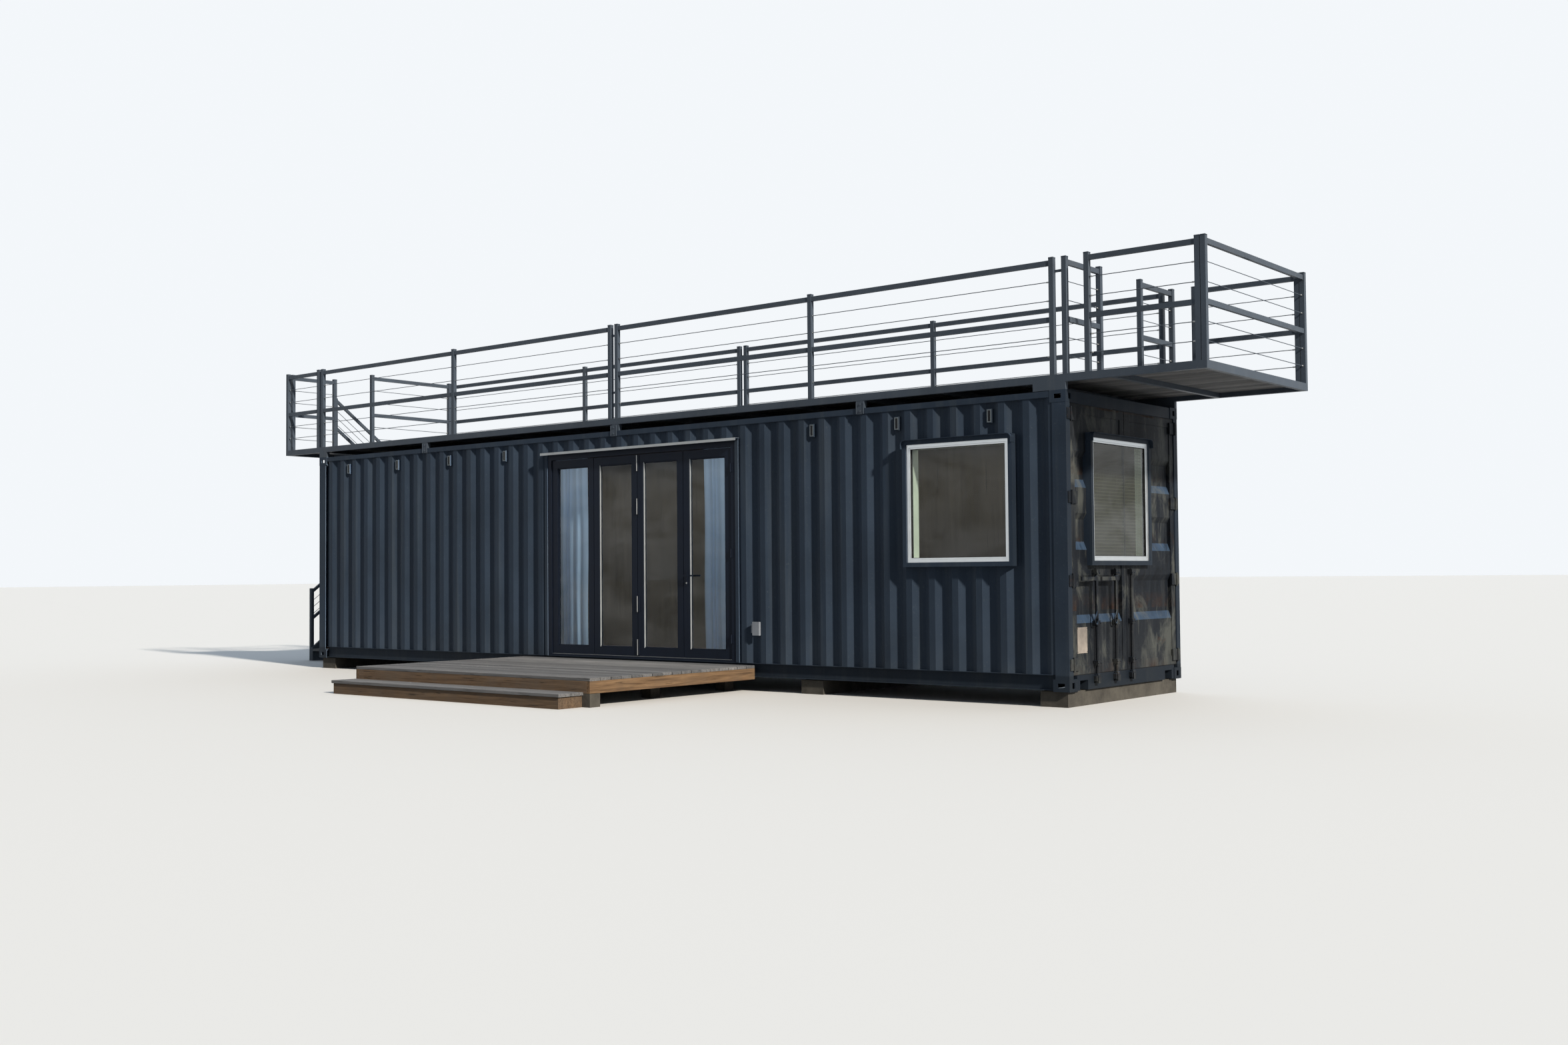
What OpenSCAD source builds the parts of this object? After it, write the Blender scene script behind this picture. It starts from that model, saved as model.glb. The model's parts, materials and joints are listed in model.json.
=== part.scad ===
// Shipping container cabin with a roof terrace, a glazed folding door and a timber deck.
// Millimetres, +Z up. X runs along the container, the front with the glazed door faces -Y.
// The origin is on the ground under the middle of the container's plan.

/* [Container] */
// length over the corner castings
box_len = 12192; // [11000:1:13716]
// width over the corner castings
box_wid = 2438; // [2300:1:2600]
// height over the corner castings
box_hgt = 2896; // [2820:1:3100]
// height of the sleepers under the container
sleeper_h = 150; // [100:1:400]
// width of a sleeper
sleeper_w = 300; // [200:1:500]
// how far the sleepers stand inside the castings' faces
sleeper_in = 40; // [10:1:60]
// length of a corner casting
cast_l = 178; // [160:1:190]
// width of a corner casting
cast_w = 162; // [150:1:180]
// height of a corner casting
cast_h = 118; // [100:1:130]
// width of a corner post seen from the side
post_w = 150; // [130:1:170]
// steel thickness of posts
post_t = 6; // [4:1:10]
// square size of the top rails
top_rail = 60; // [50:1:80]
// steel thickness of the rails
rail_t = 4; // [3:1:6]
// height of the channel along the bottom sides
side_rail_h = 150; // [130:1:170]
// how far the bottom channel stands above the castings' base
side_rail_z = 12; // [8:1:20]
// depth of the bottom channel
side_rail_d = 46; // [40:1:60]
// height of the cross members
cross_h = 116; // [90:1:120]
// distance between cross members
cross_pitch = 560; // [400:1:900]
// distance from the castings to the outer cross members
cross_in = 100; // [60:1:200]
// thickness of the floor board
floor_t = 28; // [18:1:40]

/* [Corrugated steel] */
// distance from rib to rib
corr_pitch = 280; // [250:1:320]
// first whole rib of the long walls from the left end
rib_first = 236; // [200:1:260]
// depth of the ribs
corr_depth = 36; // [25:1:40]
// width of the flat on a rib
corr_flat = 72; // [60:1:80]
// width of the slope beside a rib
corr_slope = 68; // [55:1:80]
// thickness of the sheet
sheet_t = 3; // [2:1:5]
// how far the sheet sits behind the face of the rails
sheet_set = 8; // [4:1:16]
// depth of the pressed ribs in the roof
roof_rib = 20; // [10:1:30]

/* [Cargo doors] */
// height of the header over the doors
header_h = 120; // [100:1:150]
// height of the sill under the doors
sill_h = 150; // [130:1:170]
// thickness of a door leaf
cargo_t = 50; // [40:1:60]
// gap round each door leaf
cargo_gap = 8; // [4:1:12]
// width of a leaf's frame bars
cargo_bar = 90; // [70:1:110]
// bottom of the first recess in the doors above the castings' base
cargo_first = 650; // [560:1:700]
// bottom of the second recess
cargo_second = 1360; // [1200:1:1420]
// bottom of the third recess
cargo_third = 1965; // [1800:1:2100]
// height of the flat between two recesses
cargo_face = 250; // [200:1:300]
// depth of the recesses
cargo_rib = 32; // [20:1:36]
// width of the notches at both ends of the sill
notch_w = 160; // [120:1:200]
// height of the notches
notch_h = 100; // [60:1:120]
// distance from a casting to the notch beside it
notch_in = 56; // [30:1:90]
// diameter of a lock rod
rod_d = 34; // [26:1:40]
// gap between a lock rod and the door
rod_off = 12; // [8:1:20]
// first lock rod from the front corner
rod_first = 533; // [450:1:600]
// distance to the second lock rod
rod_step = 406; // [350:1:500]
// third lock rod past the doors' meeting line
rod_side = 60; // [40:1:120]
// height of the lock handles above the castings' base
handle_z = 1060; // [1000:1:1100]
// reach of a lock handle beside its rod
handle_l = 330; // [250:1:360]
// height of a handle's bar
handle_h = 38; // [25:1:50]
// length of a handle's hanging lever
lever_l = 300; // [200:1:400]
// distance between the lower rod guides
guide_step = 390; // [300:1:500]
// height of a rod guide
guide_h = 50; // [35:1:70]
// height of a door hinge's barrel
hinge_h = 140; // [100:1:180]
// distance from the door's ends to the outer hinges
hinge_end = 100; // [80:1:160]
// length of a hinge's strap on the door
strap_l = 110; // [80:1:160]
// bare plate from the front corner
plate_y = 194; // [150:1:260]
// width of the bare plate
plate_w = 195; // [150:1:240]
// height of the bare plate
plate_h = 250; // [200:1:300]
// underside of the bare plate above the castings' base
plate_z = 360; // [300:1:420]

/* [Windows] */
// width of the front window
win_w = 1212; // [900:1:1400]
// height of both windows' frames
win_h = 1208; // [900:1:1240]
// distance from the front window to the container's right end
win_in = 622; // [560:1:1200]
// underside of the windows above the castings' base
win_z = 1254; // [1230:1:1290]
// width of the end window
end_w = 1205; // [900:1:1300]
// how far the end window sits off the middle toward the front
end_shift = 160; // [100:1:200]
// face width of the window frame
win_face = 30; // [22:1:45]
// depth of the window frame
win_depth = 55; // [45:1:60]
// width of the steel surround
trim_w = 45; // [35:1:60]
// radius of the drip hoods' bent ends
hood_r = 50; // [20:1:60]
// how far the hoods' ends come down
hood_drop = 90; // [70:1:130]
// steel thickness of the hoods
hood_t = 5; // [3:1:8]
// how far a hood stands out past the surround
hood_out = 30; // [10:1:50]
// how far the steel surround stands out
trim_out = 42; // [25:1:60]
// how far the window frames sit behind the surround's face
frame_set = 14; // [8:1:24]
// glass thickness
glass_t = 8; // [6:1:14]

/* [Folding door] */
// left edge of the first leaf from the container's left end
leaf_x = 4955; // [4800:1:5200]
// width of one leaf
leaf_w = 735; // [600:1:780]
// gap between leaves
leaf_gap = 8; // [6:1:12]
// width of the upright bars of a leaf
stile_w = 92; // [70:1:110]
// height of the top and bottom bars of a leaf
leaf_rail = 96; // [80:1:120]
// thickness of a leaf
leaf_t = 52; // [44:1:58]
// face width of the outer door frame
jamb_w = 66; // [50:1:80]
// depth of the outer door frame
jamb_d = 74; // [66:1:90]
// height of the frame's top bar
head_h = 78; // [60:1:100]
// height of the threshold
threshold_h = 24; // [16:1:40]
// distance from the top rails down to the door frame
door_drop = 159; // [150:1:300]
// width of the steel bars round the folding door
door_trim = 46; // [35:1:60]
// thickness of the bar over the folding door's frame
door_lid = 6; // [4:1:20]
// how far the drip cap stands out
drip_out = 60; // [40:1:90]
// diameter of the traffic leaf's hinge barrels
barrel_d = 14; // [10:1:16]
// height of a hinge barrel
barrel_h = 100; // [70:1:130]
// distance from the leaf's ends to the outer barrels
barrel_end = 180; // [120:1:300]
// clearance between the traffic leaf and what stands still
swing_gap = 8; // [6:1:12]
// height of the lever handle above the castings' base
lever_z = 1140; // [1000:1:1250]

/* [Inside] */
// thickness of the lining boards
lining_t = 12; // [9:1:18]
// space between the rails' face and the lining's back
lining_set = 96; // [92:1:120]
// distance from the top rails down to the ceiling
ceiling_drop = 99; // [80:1:130]
// how far the curtains hang behind the door's face
curtain_y = 225; // [200:1:300]
// depth of a gathered curtain's folds
curtain_d = 60; // [40:1:80]
// width of a gathered curtain
curtain_w = 620; // [350:1:700]
// how far the left curtain hangs past the first leaf
curtain_past = 215; // [100:1:300]
// how far the right curtain hangs inside the last leaf's edge
curtain_in = 16; // [5:1:60]

/* [Small boxes] */
// width of a vent box
vent_w = 60; // [50:1:64]
// height of a vent box
vent_h = 142; // [120:1:200]
// depth of a vent box
vent_d = 34; // [24:1:36]
// distance from the top rails down to the middle of the vent boxes
vent_drop = 132; // [110:1:200]
// nearest a vent box comes to the folding door
vent_clear = 900; // [600:1:1000]
// ribs from one vent box to the next
vent_step = 4; // [3:1:5]
// width of the outlet cover
outlet_w = 96; // [84:1:110]
// height of the outlet cover
outlet_h = 150; // [120:1:170]
// depth of the outlet cover
outlet_d = 30; // [20:1:50]
// gap between the outlet cover and the ribs behind it
outlet_gap = 4; // [2:1:10]
// how far the outlet cover sits right of the middle between two ribs
outlet_side = 56; // [0:1:60]
// middle of the outlet cover above the castings' base
outlet_z = 546; // [300:1:900]

/* [Roof terrace] */
// gap between the container and the terrace frame
deck_gap = 74; // [50:1:120]
// height of the terrace frame
fascia_h = 75; // [60:1:120]
// width of the terrace frame bars
fascia_w = 50; // [50:1:70]
// thickness of the terrace boards
board_t = 25; // [20:1:35]
// width of a terrace board
board_w = 140; // [120:1:160]
// gap between terrace boards
board_gap = 6; // [4:1:10]
// width of the joists under the terrace boards
joist_w = 50; // [40:1:60]
// length of the terrace beyond the cargo doors
ext_r = 1433; // [1100:1:1600]
// length of the landing beyond the left end
ext_l = 850; // [800:1:950]
// width of the blocks between the container and the terrace frame
clip_w = 110; // [80:1:160]
// square size of the railing posts
rpost = 50; // [40:1:50]
// height of the railing posts
rail_h = 1140; // [1000:1:1200]
// height of the top rail's middle above the terrace
rail_top_z = 1086; // [960:1:1100]
// height of the railing's bars
bar_h = 50; // [36:1:50]
// height of the middle rail above the terrace
rail_mid_z = 535; // [480:1:560]
// diameter of the railing cables
cable_d = 8; // [6:1:10]
// gap between two railing panels at a corner
panel_gap = 26; // [16:1:40]
// gap between the two panels of a long side
pair_gap = 65; // [40:1:100]
// start of a long side's railing from the left end
rail_in = 30; // [20:1:80]
// end of a long side's railing from the right end
rail_out = 117; // [80:1:160]
// how far the panels beside the right gateway stand inside the container's end
gate_set = 42; // [20:1:60]
// near side of the right gateway from the front
gate_y = 772; // [600:1:900]
// start of the extension's railing past the container's end
ext_in = 210; // [150:1:300]
// gap between the landing's railings and the others
rail_clear = 20; // [10:1:40]
// gap between the extension's panels at its corners
corner_gap = 7; // [5:1:20]
// width of the right gateway
gate_w = 838; // [760:1:900]

/* [Stair] */
// width of a stair flight
flight_w = 830; // [760:1:840]
// steps in the lower flight
low_steps = 8; // [7:1:9]
// steps in the upper flight
up_steps = 9; // [8:1:10]
// depth from one tread to the next
going = 250; // [240:1:270]
// thickness of a tread
tread_t = 40; // [30:1:45]
// overlap of a tread over the next one below
tread_lap = 20; // [10:1:30]
// thickness of a stringer
string_t = 40; // [30:1:50]
// height of a stringer cut square
string_h = 220; // [180:1:260]
// depth of the half landing
half_d = 860; // [800:1:950]
// gap between the two flights
flight_gap = 160; // [90:1:200]
// gap between the upper flight and the container
flight_off = 20; // [10:1:40]
// how far a stringer stands above the line of the treads
string_lip = 20; // [10:1:40]
// height of the half landing's frame
landing_h = 150; // [120:1:165]
// square size of the columns under the half landing
column_w = 80; // [60:1:120]
// height of the stair's handrail above the treads
stair_rail_z = 950; // [850:1:1000]

/* [Timber deck] */
// left edge of the deck from the folding door's first leaf
deck_left = 505; // [300:1:700]
// length of the deck along the wall
deck_len = 3830; // [3400:1:4200]
// depth of the deck away from the wall
deck_dep = 2520; // [2000:1:2800]
// top of the deck above the castings' base
deck_top = 140; // [110:1:150]
// thickness of the deck boards
plank_t = 32; // [25:1:40]
// width of a deck board
plank_w = 140; // [120:1:160]
// gap between deck boards
plank_gap = 8; // [5:1:12]
// thickness of the deck's joists and edge boards
joist_t = 45; // [38:1:50]
// height of the edge boards
joist_h = 155; // [130:1:160]
// gap between the deck and the wall
deck_wall = 12; // [8:1:20]
// square size of the deck's pier blocks
deck_pier = 140; // [100:1:200]
// depth of the lower step
step_dep = 330; // [280:1:400]
// how far the inner pier blocks stand inside the deck's ends
pier_in = 320; // [200:1:500]
// how much the step stops short of the deck's right edge
step_short = 90; // [20:1:300]
// top of the lower step above the castings' base
step_top = 0; // [-30:1:10]

/* [Hidden] */
eps = 1;
// weld line between two pieces that stay separate solids
hair = 1;
zr = side_rail_z + side_rail_h;
rail_z0 = box_hgt - 5 - top_rail;
door_top = rail_z0 - door_drop;
ceiling_z = rail_z0 - ceiling_drop;
win_x = box_len - win_in - win_w;
vent_z = rail_z0 - vent_drop;
floor_z = zr - floor_t;
floor_top = zr;
sheet_in = sheet_set + corr_depth + sheet_t;
wall_x0 = post_w;
wall_x1 = box_len - post_w;
// ribs of the long walls
corr_n = floor((wall_x1 - rib_first) / corr_pitch);
// middle of the flat between two ribs of the long walls
function valley_x(k) = rib_first + k * corr_pitch + (corr_pitch + corr_flat) / 2;
// first such flat at or past a place
function valley_past(x) = ceil((x - valley_x(0)) / corr_pitch);
// folding door
leaves_x1 = leaf_x + 4 * leaf_w + 3 * leaf_gap;
jamb_x0 = leaf_x - leaf_gap - jamb_w;
jamb_x1 = leaves_x1 + swing_gap + jamb_w;
trim_x0 = jamb_x0 - door_trim;
trim_x1 = jamb_x1 + door_trim;
leaf_z0 = zr + threshold_h + leaf_gap;
leaf_z1 = door_top - head_h - leaf_gap;
jamb_y = 10;
leaf_y = jamb_y + 12;
leaf4_x = leaf_x + 3 * (leaf_w + leaf_gap);
pivot_x = leaves_x1 + swing_gap + 1;
pivot_y = jamb_y - barrel_d / 2;
// cargo doors
cargo_x = box_len - 12 - cargo_t;
cargo_z0 = sill_h + cargo_gap;
cargo_z1 = box_hgt - header_h - cargo_gap;
cargo_y0 = 90;
cargo_mid = box_wid / 2;
end_y = cargo_mid - end_shift - end_w / 2;
lining_x1 = cargo_x - 40;
rod_ys = [rod_first, rod_first + rod_step, cargo_mid + rod_side];
rod_x = box_len - 12 + rod_off + rod_d / 2;
// terrace
fas_z0 = box_hgt + deck_gap;
fas_z1 = fas_z0 + fascia_h;
ter_x0 = -ext_l;
ter_x1 = box_len + ext_r;
rail_z = fas_z1;
// stair
ground = -sleeper_h;
riser = (fas_z1 - ground) / (low_steps + up_steps);
half_z = ground + low_steps * riser;
land_dep = ext_l;
up_y0 = land_dep;
half_y = up_y0 + (up_steps - 1) * going;
low_y0 = half_y - (low_steps - 1) * going;
in_x1 = -flight_off;
in_x0 = in_x1 - flight_w;
out_x1 = in_x0 - flight_gap;
out_x0 = out_x1 - flight_w;
// deck
deck_x = leaf_x - deck_left;
deck_x1 = deck_x + deck_len;

steel = [0.11, 0.14, 0.19];
dark = [0.07, 0.08, 0.11];
silver = [0.75, 0.77, 0.78];
timber = [0.42, 0.37, 0.32];
pale = [0.86, 0.85, 0.82];

// everything is drawn with the container's left front bottom corner at zero
module home() {
  translate([-box_len / 2, -box_wid / 2, sleeper_h]) children();
}

module block(x0, x1, y0, y1, z0, z1) {
  translate([x0, y0, z0]) cube([x1 - x0, y1 - y0, z1 - z0]);
}

// a square or flat tube along X with its hollow open at both ends
module tube_x(x0, x1, y0, y1, z0, z1, t) {
  difference() {
    block(x0, x1, y0, y1, z0, z1);
    block(x0 - eps, x1 + eps, y0 + t, y1 - t, z0 + t, z1 - t);
  }
}

// an upright frame round an opening, facing Y
module frame_y(x0, x1, y0, y1, z0, z1, l, r, b, t) {
  difference() {
    block(x0, x1, y0, y1, z0, z1);
    block(x0 + l, x1 - r, y0 - eps, y1 + eps, z0 + b, z1 - t);
  }
}

// an upright frame round an opening, facing X
module frame_x(x0, x1, y0, y1, z0, z1, w) {
  difference() {
    block(x0, x1, y0, y1, z0, z1);
    block(x0 - eps, x1 + eps, y0 + w, y1 - w, z0 + w, z1 - w);
  }
}

// outline of one face of ribbed sheet: n ribs over a length, flat at both ends
function rib_line(len, n, y) = concat(
  [for (k = [0 : n - 1]) for (q = [0 : 3])
    [k * corr_pitch + [corr_flat, corr_flat + corr_slope,
        corr_pitch - corr_slope, corr_pitch][q],
      y + [0, corr_depth, corr_depth, 0][q]]],
  [[len, y]]);

// ribbed sheet standing up, ribs toward -Y
module ribbed(len, n, z0, z1) {
  front = concat([[0, 0]], rib_line(len, n, 0));
  back = [for (p = front) [p[0], p[1] + sheet_t]];
  rev = [for (i = [len(back) - 1 : -1 : 0]) back[i]];
  translate([0, 0, z0]) linear_extrude(z1 - z0) polygon(concat(front, rev));
}

module long_wall(z0, z1) {
  clear_of_castings()
    intersection() {
      translate([rib_first - corr_pitch, sheet_set, 0])
        ribbed((corr_n + 3) * corr_pitch, corr_n + 2, z0, z1);
      block(wall_x0, wall_x1, -eps, sheet_in + eps, z0, z1);
    }
}

// sleepers under the container and pier blocks under the deck
module foundation_blocks() {
  color(dark) home() {
    n = 4;
    step = (box_len - 2 * sleeper_in - sleeper_w) / n;
    for (i = [0 : n])
      block(sleeper_in + i * step, sleeper_in + i * step + sleeper_w, sleeper_in, box_wid - sleeper_in,
        ground, 0);
    for (i = [-1 : 1]) for (k = [0 : 2])
      translate([deck_x + (deck_len - deck_pier) / 2 * (1 + i) - (k > 0 ? i * pier_in : 0),
          -deck_dep + k * (deck_dep - deck_wall - deck_pier) / 2, ground])
        cube([deck_pier, deck_pier, deck_top - joist_h - ground]);
  }
}

// leaves the corner castings' places free
module clear_of_castings() {
  difference() {
    children();
    for (mx = [0, 1]) for (my = [0, 1]) for (z = [0, box_hgt - cast_h])
      translate([mx * (box_len - cast_l), my * (box_wid - cast_w), z])
        translate([mx ? 0 : -eps, my ? 0 : -eps, -eps])
          cube([cast_l + eps, cast_w + eps, cast_h + 2 * eps]);
  }
}

// one casting with its holes, corner at zero and body toward +X +Y +Z
module casting() {
  difference() {
    cube([cast_l, cast_w, cast_h]);
    translate([10, 8, 10]) cube([cast_l, cast_w, cast_h - 20]);
    translate([cast_l / 2 - 38, -eps, cast_h / 2 - 22]) cube([76, 20, 44]);
    translate([-eps, cast_w / 2 - 25, cast_h / 2 - 28]) cube([20, 50, 56]);
    translate([cast_l / 2 - 60, cast_w / 2 - 30, -eps]) cube([120, 60, cast_h + 2 * eps]);
  }
}

module corner_castings() {
  color(steel) home() {
    for (mx = [0, 1]) for (my = [0, 1]) for (z = [0, box_hgt - cast_h])
      translate([mx * box_len, my * box_wid, z]) mirror([mx, 0, 0]) mirror([0, my, 0]) casting();
  }
}

// a pressed post: two outer faces and a return
module post_plan() {
  d = cargo_y0 - cargo_gap;
  polygon([[0, 0], [post_w, 0], [post_w, post_t], [post_t, post_t], [post_t, d - post_t],
    [40, d - post_t], [40, d], [0, d]]);
}

module corner_posts() {
  color(steel) home() {
    for (mx = [0, 1]) for (my = [0, 1])
      translate([mx * box_len, my * box_wid, cast_h]) mirror([mx, 0, 0]) mirror([0, my, 0])
        linear_extrude(box_hgt - 2 * cast_h) translate([2, 2]) post_plan();
  }
}

// square tubes along the top, channels along the bottom, bars across the left end
module side_rails() {
  color(steel) home() {
    for (my = [0, 1])
      translate([0, my * box_wid, 0]) mirror([0, my, 0]) {
        tube_x(cast_l, box_len - cast_l, 2, 2 + top_rail, rail_z0, rail_z0 + top_rail, rail_t);
        difference() {
          block(cast_l, box_len - cast_l, 4, 4 + side_rail_d, side_rail_z, zr);
          block(cast_l - eps, box_len - cast_l + eps, 4 - eps, 4 + side_rail_d - rail_t,
            side_rail_z + rail_t, zr - rail_t);
        }
      }
    block(2, 2 + top_rail, cast_w, box_wid - cast_w, rail_z0, rail_z0 + top_rail);
    block(2, 2 + top_rail, cast_w, box_wid - cast_w, side_rail_z, zr);
  }
}

module door_header_and_sill() {
  color(steel) home() {
    block(box_len - 130, box_len - 6, cast_w, box_wid - cast_w, box_hgt - header_h, box_hgt - 6);
    difference() {
      block(box_len - 130, box_len - 6, cast_w, box_wid - cast_w, 6, sill_h);
      for (my = [0, 1]) translate([0, my * box_wid, 0]) mirror([0, my, 0])
        block(box_len - 130 - eps, box_len, cast_w + notch_in, cast_w + notch_in + notch_w, 0, notch_h);
    }
  }
}

module cross_members() {
  color(dark) home() {
    y0 = 4 + side_rail_d;
    z1 = floor_z;
    l = box_len - 2 * cast_l - 2 * cross_in;
    n = floor(l / cross_pitch);
    for (i = [0 : n])
      translate([cast_l + cross_in + i * (l - 45) / n, y0, z1 - cross_h])
        difference() {
          cube([45, box_wid - 2 * y0, cross_h]);
          translate([4, -eps, 4]) cube([45, box_wid - 2 * y0 + 2 * eps, cross_h - 8]);
        }
  }
}

module floor_board() {
  color(timber) home()
    block(2 + top_rail, box_len - 130, 4 + side_rail_d, box_wid - 4 - side_rail_d, floor_z, floor_top);
}

// pressed roof sheet between the top rails
module roof_sheet() {
  color(steel) home() {
    n = 28;
    x0 = 2 + top_rail;
    x1 = box_len - 130;
    p = (x1 - x0 - 100) / n;
    top = concat([[0, 0]],
      [for (k = [0 : n - 1]) for (q = [0 : 3])
        [60 + k * p + [0, 30, 130, 160][q], [0, roof_rib, roof_rib, 0][q]]],
      [[x1 - x0, 0]]);
    low = [for (i = [len(top) - 1 : -1 : 0]) [top[i][0], top[i][1] - sheet_t]];
    clear_of_castings() translate([x0, box_wid - 2 - top_rail, rail_z0 + top_rail - roof_rib - 4])
      rotate([90, 0, 0]) linear_extrude(box_wid - 2 * (2 + top_rail)) polygon(concat(top, low));
  }
}

module front_wall_left() {
  color(steel) home() intersection() {
    long_wall(zr, rail_z0);
    block(wall_x0, trim_x0, -eps, sheet_in + eps, zr, rail_z0);
  }
}

module front_wall_right() {
  color(steel) home() difference() {
    intersection() {
      long_wall(zr, rail_z0);
      block(trim_x1, wall_x1, -eps, sheet_in + eps, zr, rail_z0);
    }
    block(win_x - trim_w, win_x + win_w + trim_w, -eps, sheet_in + eps, win_z - trim_w,
      win_z + win_h + trim_w);
  }
}

module front_wall_over_door() {
  color(steel) home() intersection() {
    long_wall(zr, rail_z0);
    block(trim_x0, trim_x1, -eps, sheet_in + eps, door_top + door_lid, rail_z0);
  }
}

module back_wall() {
  color(steel) home() translate([0, box_wid, 0]) mirror([0, 1, 0]) long_wall(zr, rail_z0);
}

// ribbed sheet across the left end
module left_end_wall() {
  d = cargo_y0 - cargo_gap + 2;
  l = box_wid - 2 * d;
  n = floor((l - corr_flat) / corr_pitch);
  color(steel) home() clear_of_castings()
    translate([sheet_set, box_wid - d, 0]) rotate([0, 0, -90]) ribbed(l, n, zr, rail_z0);
}

// profile of a cargo door panel in X and Z: flats with three recesses that slope at both edges
cargo_feet = [cargo_first, cargo_second, cargo_third, 2 * cargo_third - cargo_second];
function cargo_recess(z0, z1) = [[0, z0], [-cargo_rib, z0 + 80], [-cargo_rib, z1 - 60], [0, z1]];
function cargo_line(z0, z1) = concat([[0, z0]],
  [for (k = [0 : 2]) for (p = cargo_recess(cargo_feet[k], cargo_feet[k + 1] - cargo_face)) p],
  [[0, z1]]);

module cargo_leaf(y0, y1) {
  difference() {
    union() {
      frame_x(cargo_x, cargo_x + cargo_t, y0, y1, cargo_z0, cargo_z1, cargo_bar);
      a = [for (p = cargo_line(cargo_z0 + cargo_bar, cargo_z1 - cargo_bar))
        if (p[1] <= cargo_z1 - cargo_bar) p];
      b = [for (i = [len(a) - 1 : -1 : 0]) [a[i][0] - sheet_t - 1, a[i][1]]];
      translate([cargo_x + cargo_t - 6, y1 - cargo_bar + 1, 0]) rotate([90, 0, 0])
        linear_extrude(y1 - y0 - 2 * cargo_bar + 2) polygon(concat(a, b));
    }
    block(cargo_x - eps, cargo_x + cargo_t + eps, end_y - trim_w, end_y + end_w + trim_w,
      win_z - trim_w, win_z + win_h + trim_w);
  }
}

module cargo_doors() {
  color(steel) home() {
    cargo_leaf(cargo_y0, cargo_mid - cargo_gap / 2);
    cargo_leaf(cargo_mid + cargo_gap / 2, box_wid - cargo_y0);
  }
}

// post lug, barrel and strap of each cargo door hinge
module cargo_door_hinges() {
  n = 3;
  z0 = cargo_z0 + hinge_end;
  yb = cargo_y0 - cargo_gap / 2;
  color(steel) home() {
    for (my = [0, 1]) for (i = [0 : n])
      translate([box_len, my * box_wid, z0 + i * (cargo_z1 - cargo_z0 - 2 * hinge_end) / n])
        mirror([0, my, 0]) {
          block(-2, 6, yb - 66, yb, 15 - hinge_h / 2, hinge_h / 2 - 15);
          translate([rod_off - 3, yb, -hinge_h / 2]) cylinder(d = 20, h = hinge_h, $fn = 12);
          block(-12, 0, yb + cargo_gap, yb + strap_l, 10 - hinge_h / 2, hinge_h / 2 - 10);
          block(0, 6, yb, yb + strap_l, 10 - hinge_h / 2, hinge_h / 2 - 10);
        }
  }
}

// lock rods cut short under the window, each with guides on the door and a keeper below
module lock_rods() {
  color(steel) home() {
    z0 = sill_h * 0.4;
    top = win_z - trim_w - 30;
    for (y = rod_ys) {
      translate([rod_x, y, z0]) cylinder(d = rod_d, h = top - z0, $fn = 12);
      for (z = [cargo_z0 + 72, cargo_z0 + 72 + guide_step, top - guide_h - 10])
        block(box_len - 12, rod_x + rod_d / 2 + 5, y - rod_d / 2 - 14, y + rod_d / 2 + 14, z, z + guide_h);
      block(box_len - 6, rod_x + rod_d / 2 + 8, y - rod_d / 2 - 10, y + rod_d / 2 + 10, z0, z0 + 60);
    }
    x0 = rod_x + rod_d / 2 - 4;
    for (y = [rod_ys[0], rod_ys[1]]) {
      block(x0, x0 + 12, y - handle_l, y + 30, handle_z, handle_z + handle_h);
      block(x0 + 2, x0 + 12, y - 48, y - 18, handle_z - lever_l, handle_z);
    }
  }
}

module blank_plate() {
  color(pale) home() block(box_len - 18, box_len - 14, plate_y, plate_y + plate_w, plate_z, plate_z + plate_h);
}

// plate with its two upper corners rounded, set in by g at the top and sides
module hood_plate(w, r, g) {
  translate([g, 0]) square([w - 2 * g, hood_drop - r - g]);
  translate([g + r, 0]) square([w - 2 * g - 2 * r, hood_drop - g]);
  for (x = [g + r, w - g - r]) translate([x, hood_drop - g - r]) circle(r, $fn = 48);
}

// strip of steel with both ends bent down
module hood_plan(w) {
  intersection() {
    square([w, hood_drop]);
    difference() {
      hood_plate(w, hood_r, 0);
      hood_plate(w, hood_r - hood_t, hood_t);
      translate([hood_t, -eps]) square([w - 2 * hood_t, hood_t + eps]);
    }
  }
}

// steel box round each window with a drip hood over it
module window_surrounds() {
  z0 = win_z - trim_w;
  z1 = win_z + win_h + trim_w;
  color(dark) home() {
    frame_y(win_x - trim_w, win_x + win_w + trim_w, -trim_out, lining_set, z0, z1,
      trim_w, trim_w, trim_w, trim_w);
    translate([win_x - trim_w - hood_t, 4, z1 + hood_t - hood_drop]) rotate([90, 0, 0])
      linear_extrude(4 + trim_out + hood_out) hood_plan(win_w + 2 * trim_w + 2 * hood_t);
    frame_x(cargo_x - 40, box_len + trim_out, end_y - trim_w, end_y + end_w + trim_w, z0, z1, trim_w);
    translate([box_len - 6, end_y - trim_w - hood_t, z1 + hood_t - hood_drop]) rotate([90, 0, 90])
      linear_extrude(6 + trim_out + hood_out) hood_plan(end_w + 2 * trim_w + 2 * hood_t);
  }
}

module window_frames() {
  color(silver) home() {
    frame_y(win_x, win_x + win_w, -trim_out + frame_set, -trim_out + frame_set + win_depth,
      win_z, win_z + win_h, win_face, win_face, win_face, win_face);
    frame_x(box_len + trim_out - frame_set - win_depth, box_len + trim_out - frame_set,
      end_y, end_y + end_w, win_z, win_z + win_h, win_face);
  }
}

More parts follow.
